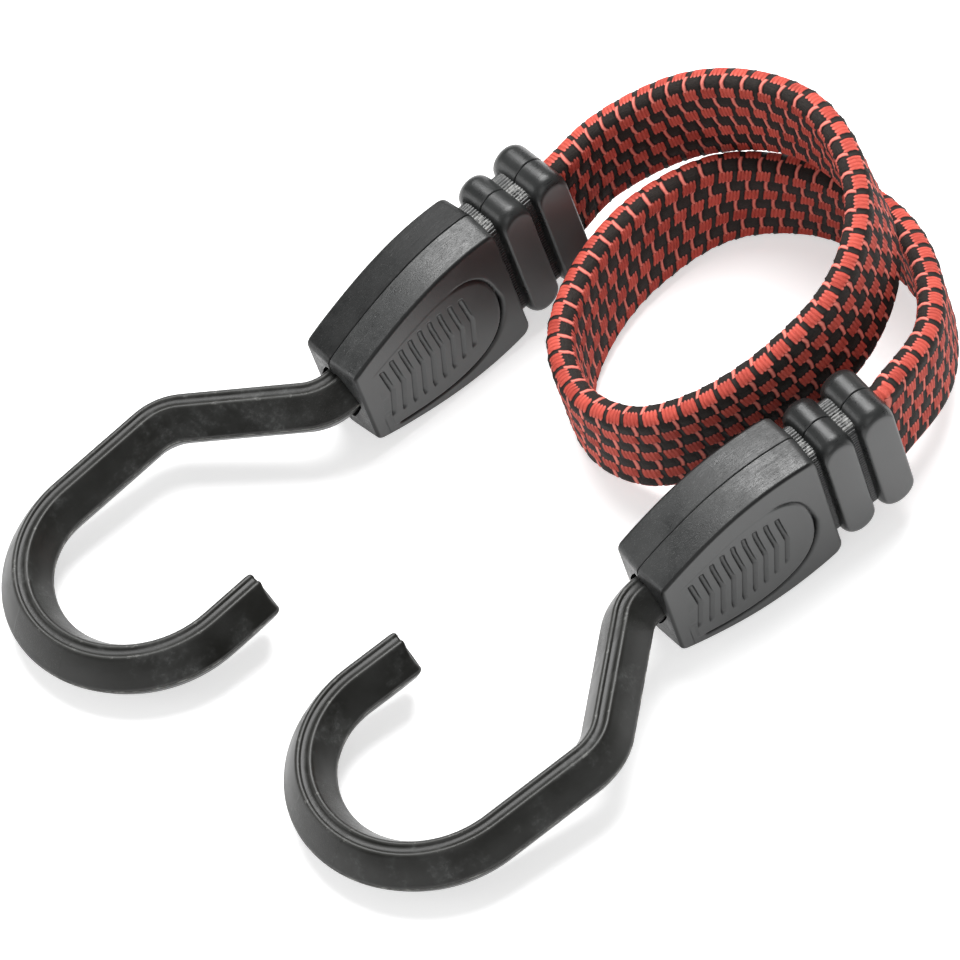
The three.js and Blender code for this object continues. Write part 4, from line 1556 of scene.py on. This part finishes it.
class BungeeCollars(bpy.types.Operator):
    """Mould the four halves of the ribbed collars"""
    bl_idname = "bungee.collars"
    bl_label = "Collars"

    def execute(self, context):
        made = collar_plastic(context.scene.bungee_fittings)
        for end_name, side, bm in fitting_halves(collar_bmesh):
            end = ENDS[end_name]
            piece = place_fitting_piece(
                end_name, f"{end_name}_collar_{side}", bm, made, COLLAR_SHARP, end["roll"],
                end["collar_lift"], rear=end["collar_reach"],
            )
        return {"FINISHED"}


class BungeeStrap(bpy.types.Operator):
    """Weave the cover of the strap along its route, and lay the rubber strands inside it"""
    bl_idname = "bungee.strap"
    bl_label = "Strap"

    def execute(self, context):
        settings = context.scene.bungee_strap
        made = woven_cover(settings)
        bm, line = strap_bmesh(settings.repeat, settings.relief)
        piece = finish_mesh("woven_strap", bm, made, math.radians(180))
        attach(piece, "root")
        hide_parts("strap_cover")
        rubber = simple_material("rubber", RUBBER_COLOUR, 0.6, 0.0, 500.0, RUBBER_GRAIN)
        for i in range(1, 6):
            strand = finish_mesh(f"strand_{i}", strand_bmesh((3 - i) * STRAND_PITCH), rubber)
            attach(strand, "root")
            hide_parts(f"strap_strand_{i}")
        path = line * MM
        return {"FINISHED"}


class BungeeInnerMetal(bpy.types.Operator):
    """Finish the pins and clamps inside the fittings"""
    bl_idname = "bungee.inner_metal"
    bl_label = "Inner metal"

    def execute(self, context):
        steel = simple_material("plated_steel", STEEL_COLOUR, 0.34, 1.0, 900.0, STEEL_GRAIN)
        for end_name in ENDS:
            for part in ("hook_pin", "strap_clamp"):
                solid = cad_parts[f"{end_name}_{part}"]
                for slot in solid.material_slots:
                    slot.material = steel
        return {"FINISHED"}


# Stage

CAMERA_PLACE = (-477.863, -885.04, 1316.978)
CAMERA_AIM = (14.123, 11.901, 0.0)
CAMERA_ROLL = math.radians(-11.9543)
SENSOR_WIDTH = 36
SIGHT = 20000
FLOOR_HALF = 3000
FLOOR_GLOW = 0.55
LAMP_AIM = (20, 0, 10)
BACK_LAMP_SHARE = 0.19


class BungeeStage(bpy.types.Operator):
    """Set up the floor, the lamps and the camera"""
    bl_idname = "bungee.stage"
    bl_label = "Stage"

    def execute(self, context):
        settings = context.scene.bungee_stage
        scene = context.scene
        scene.view_settings.view_transform = "Standard"

        camera = bpy.data.objects.new("camera", bpy.data.cameras.new("camera"))
        camera.data.lens = settings.lens
        camera.data.sensor_width = SENSOR_WIDTH
        camera.data.clip_end = SIGHT * MM
        place, aim = Vector(CAMERA_PLACE) * MM, Vector(CAMERA_AIM) * MM
        look = (aim - place).to_track_quat("-Z", "Y").to_matrix().to_4x4()
        camera.matrix_world = Matrix.Translation(place) @ look @ Matrix.Rotation(CAMERA_ROLL, 4, "Z")
        scene.collection.objects.link(camera)
        scene.camera = camera

        made, tree, shader = material("paper")
        shader.inputs["Base Color"].default_value = (*PAPER_COLOUR, 1)
        shader.inputs["Roughness"].default_value = 0.9
        bm = bmesh.new()
        bmesh.ops.create_grid(bm, x_segments=2, y_segments=2, size=FLOOR_HALF * MM)
        floor_piece = finish_mesh("floor", bm, made)
        light_floor(tree, shader)

        add_area("key_lamp", (370, 420, 1100), 920, settings.key_power)
        add_area("back_lamp", (-1100, 750, 300), 700, settings.key_power * BACK_LAMP_SHARE)
        add_area("fill_lamp", (-700, -1200, 1000), 1200, settings.fill_power)
        light_world(scene, settings.world_strength)
        return {"FINISHED"}


def light_floor(tree, shader):
    """Shows the paper a little brighter to the camera, so that it meets the white round it."""
    glow = tree.nodes.new("ShaderNodeEmission")
    glow.inputs["Strength"].default_value = FLOOR_GLOW
    path = tree.nodes.new("ShaderNodeLightPath")
    add = tree.nodes.new("ShaderNodeAddShader")
    mix = tree.nodes.new("ShaderNodeMixShader")
    tree.links.new(shader.outputs[0], add.inputs[0])
    tree.links.new(glow.outputs[0], add.inputs[1])
    seen = most(Wire(tree, path.outputs["Is Camera Ray"]), Wire(tree, path.outputs["Is Glossy Ray"]))
    tree.links.new(seen.socket, mix.inputs[0])
    tree.links.new(shader.outputs[0], mix.inputs[1])
    tree.links.new(add.outputs[0], mix.inputs[2])
    tree.links.new(mix.outputs[0], tree.nodes["Material Output"].inputs["Surface"])


def light_world(scene, strength):
    """Surrounds the stage with soft light, and shows it plain white to the camera."""
    world = bpy.data.worlds.new("surroundings")
    world.use_nodes = True
    scene.world = world
    nodes, links = world.node_tree.nodes, world.node_tree.links
    light = nodes["Background"]
    light.inputs["Color"].default_value = (1, 1, 1, 1)
    light.inputs["Strength"].default_value = strength
    shown = nodes.new("ShaderNodeBackground")
    shown.inputs["Strength"].default_value = 1
    mix = nodes.new("ShaderNodeMixShader")
    path = nodes.new("ShaderNodeLightPath")
    links.new(path.outputs["Is Camera Ray"], mix.inputs[0])
    links.new(light.outputs[0], mix.inputs[1])
    links.new(shown.outputs[0], mix.inputs[2])
    links.new(mix.outputs[0], nodes["World Output"].inputs["Surface"])


def add_area(name, place, size, power):
    """A round lamp that faces the cord."""
    place = Vector(place) * MM
    lamp = bpy.data.objects.new(name, bpy.data.lights.new(name, "AREA"))
    lamp.data.shape = "DISK"
    lamp.data.size = size * MM
    lamp.data.energy = power
    lamp.location = place
    lamp.rotation_euler = (Vector(LAMP_AIM) * MM - place).to_track_quat("-Z", "Y").to_euler()
    bpy.context.scene.collection.objects.link(lamp)


class BungeePanel(bpy.types.Panel):
    bl_idname = "VIEW3D_PT_bungee"
    bl_label = "Bungee Cord"
    bl_space_type = "VIEW_3D"
    bl_region_type = "UI"
    bl_category = "Bungee Cord"

    def draw(self, context):
        for group in ("bungee_strap", "bungee_fittings", "bungee_stage"):
            settings = getattr(context.scene, group)
            for name in settings.__annotations__:
                self.layout.prop(settings, name)
        for operator in OPERATORS:
            self.layout.operator(operator.bl_idname)


OPERATORS = (BungeeHooks, BungeeHousings, BungeeCollars, BungeeStrap, BungeeInnerMetal, BungeeStage)
GROUPS = {
    "bungee_strap": BungeeStrapSettings,
    "bungee_fittings": BungeeFittingSettings,
    "bungee_stage": BungeeStageSettings,
}


def register():
    for made in (*GROUPS.values(), *OPERATORS, BungeePanel):
        bpy.utils.register_class(made)
    for name, group in GROUPS.items():
        setattr(bpy.types.Scene, name, bpy.props.PointerProperty(type=group))


def unregister():
    for name in GROUPS:
        delattr(bpy.types.Scene, name)
    for made in reversed((*GROUPS.values(), *OPERATORS, BungeePanel)):
        bpy.utils.unregister_class(made)


def main():
    register()
    bpy.ops.bungee.stage()
    bpy.ops.bungee.strap()
    bpy.ops.bungee.hooks()
    bpy.ops.bungee.housings()
    bpy.ops.bungee.collars()
    bpy.ops.bungee.inner_metal()


if __name__ == "__main__":
    main()
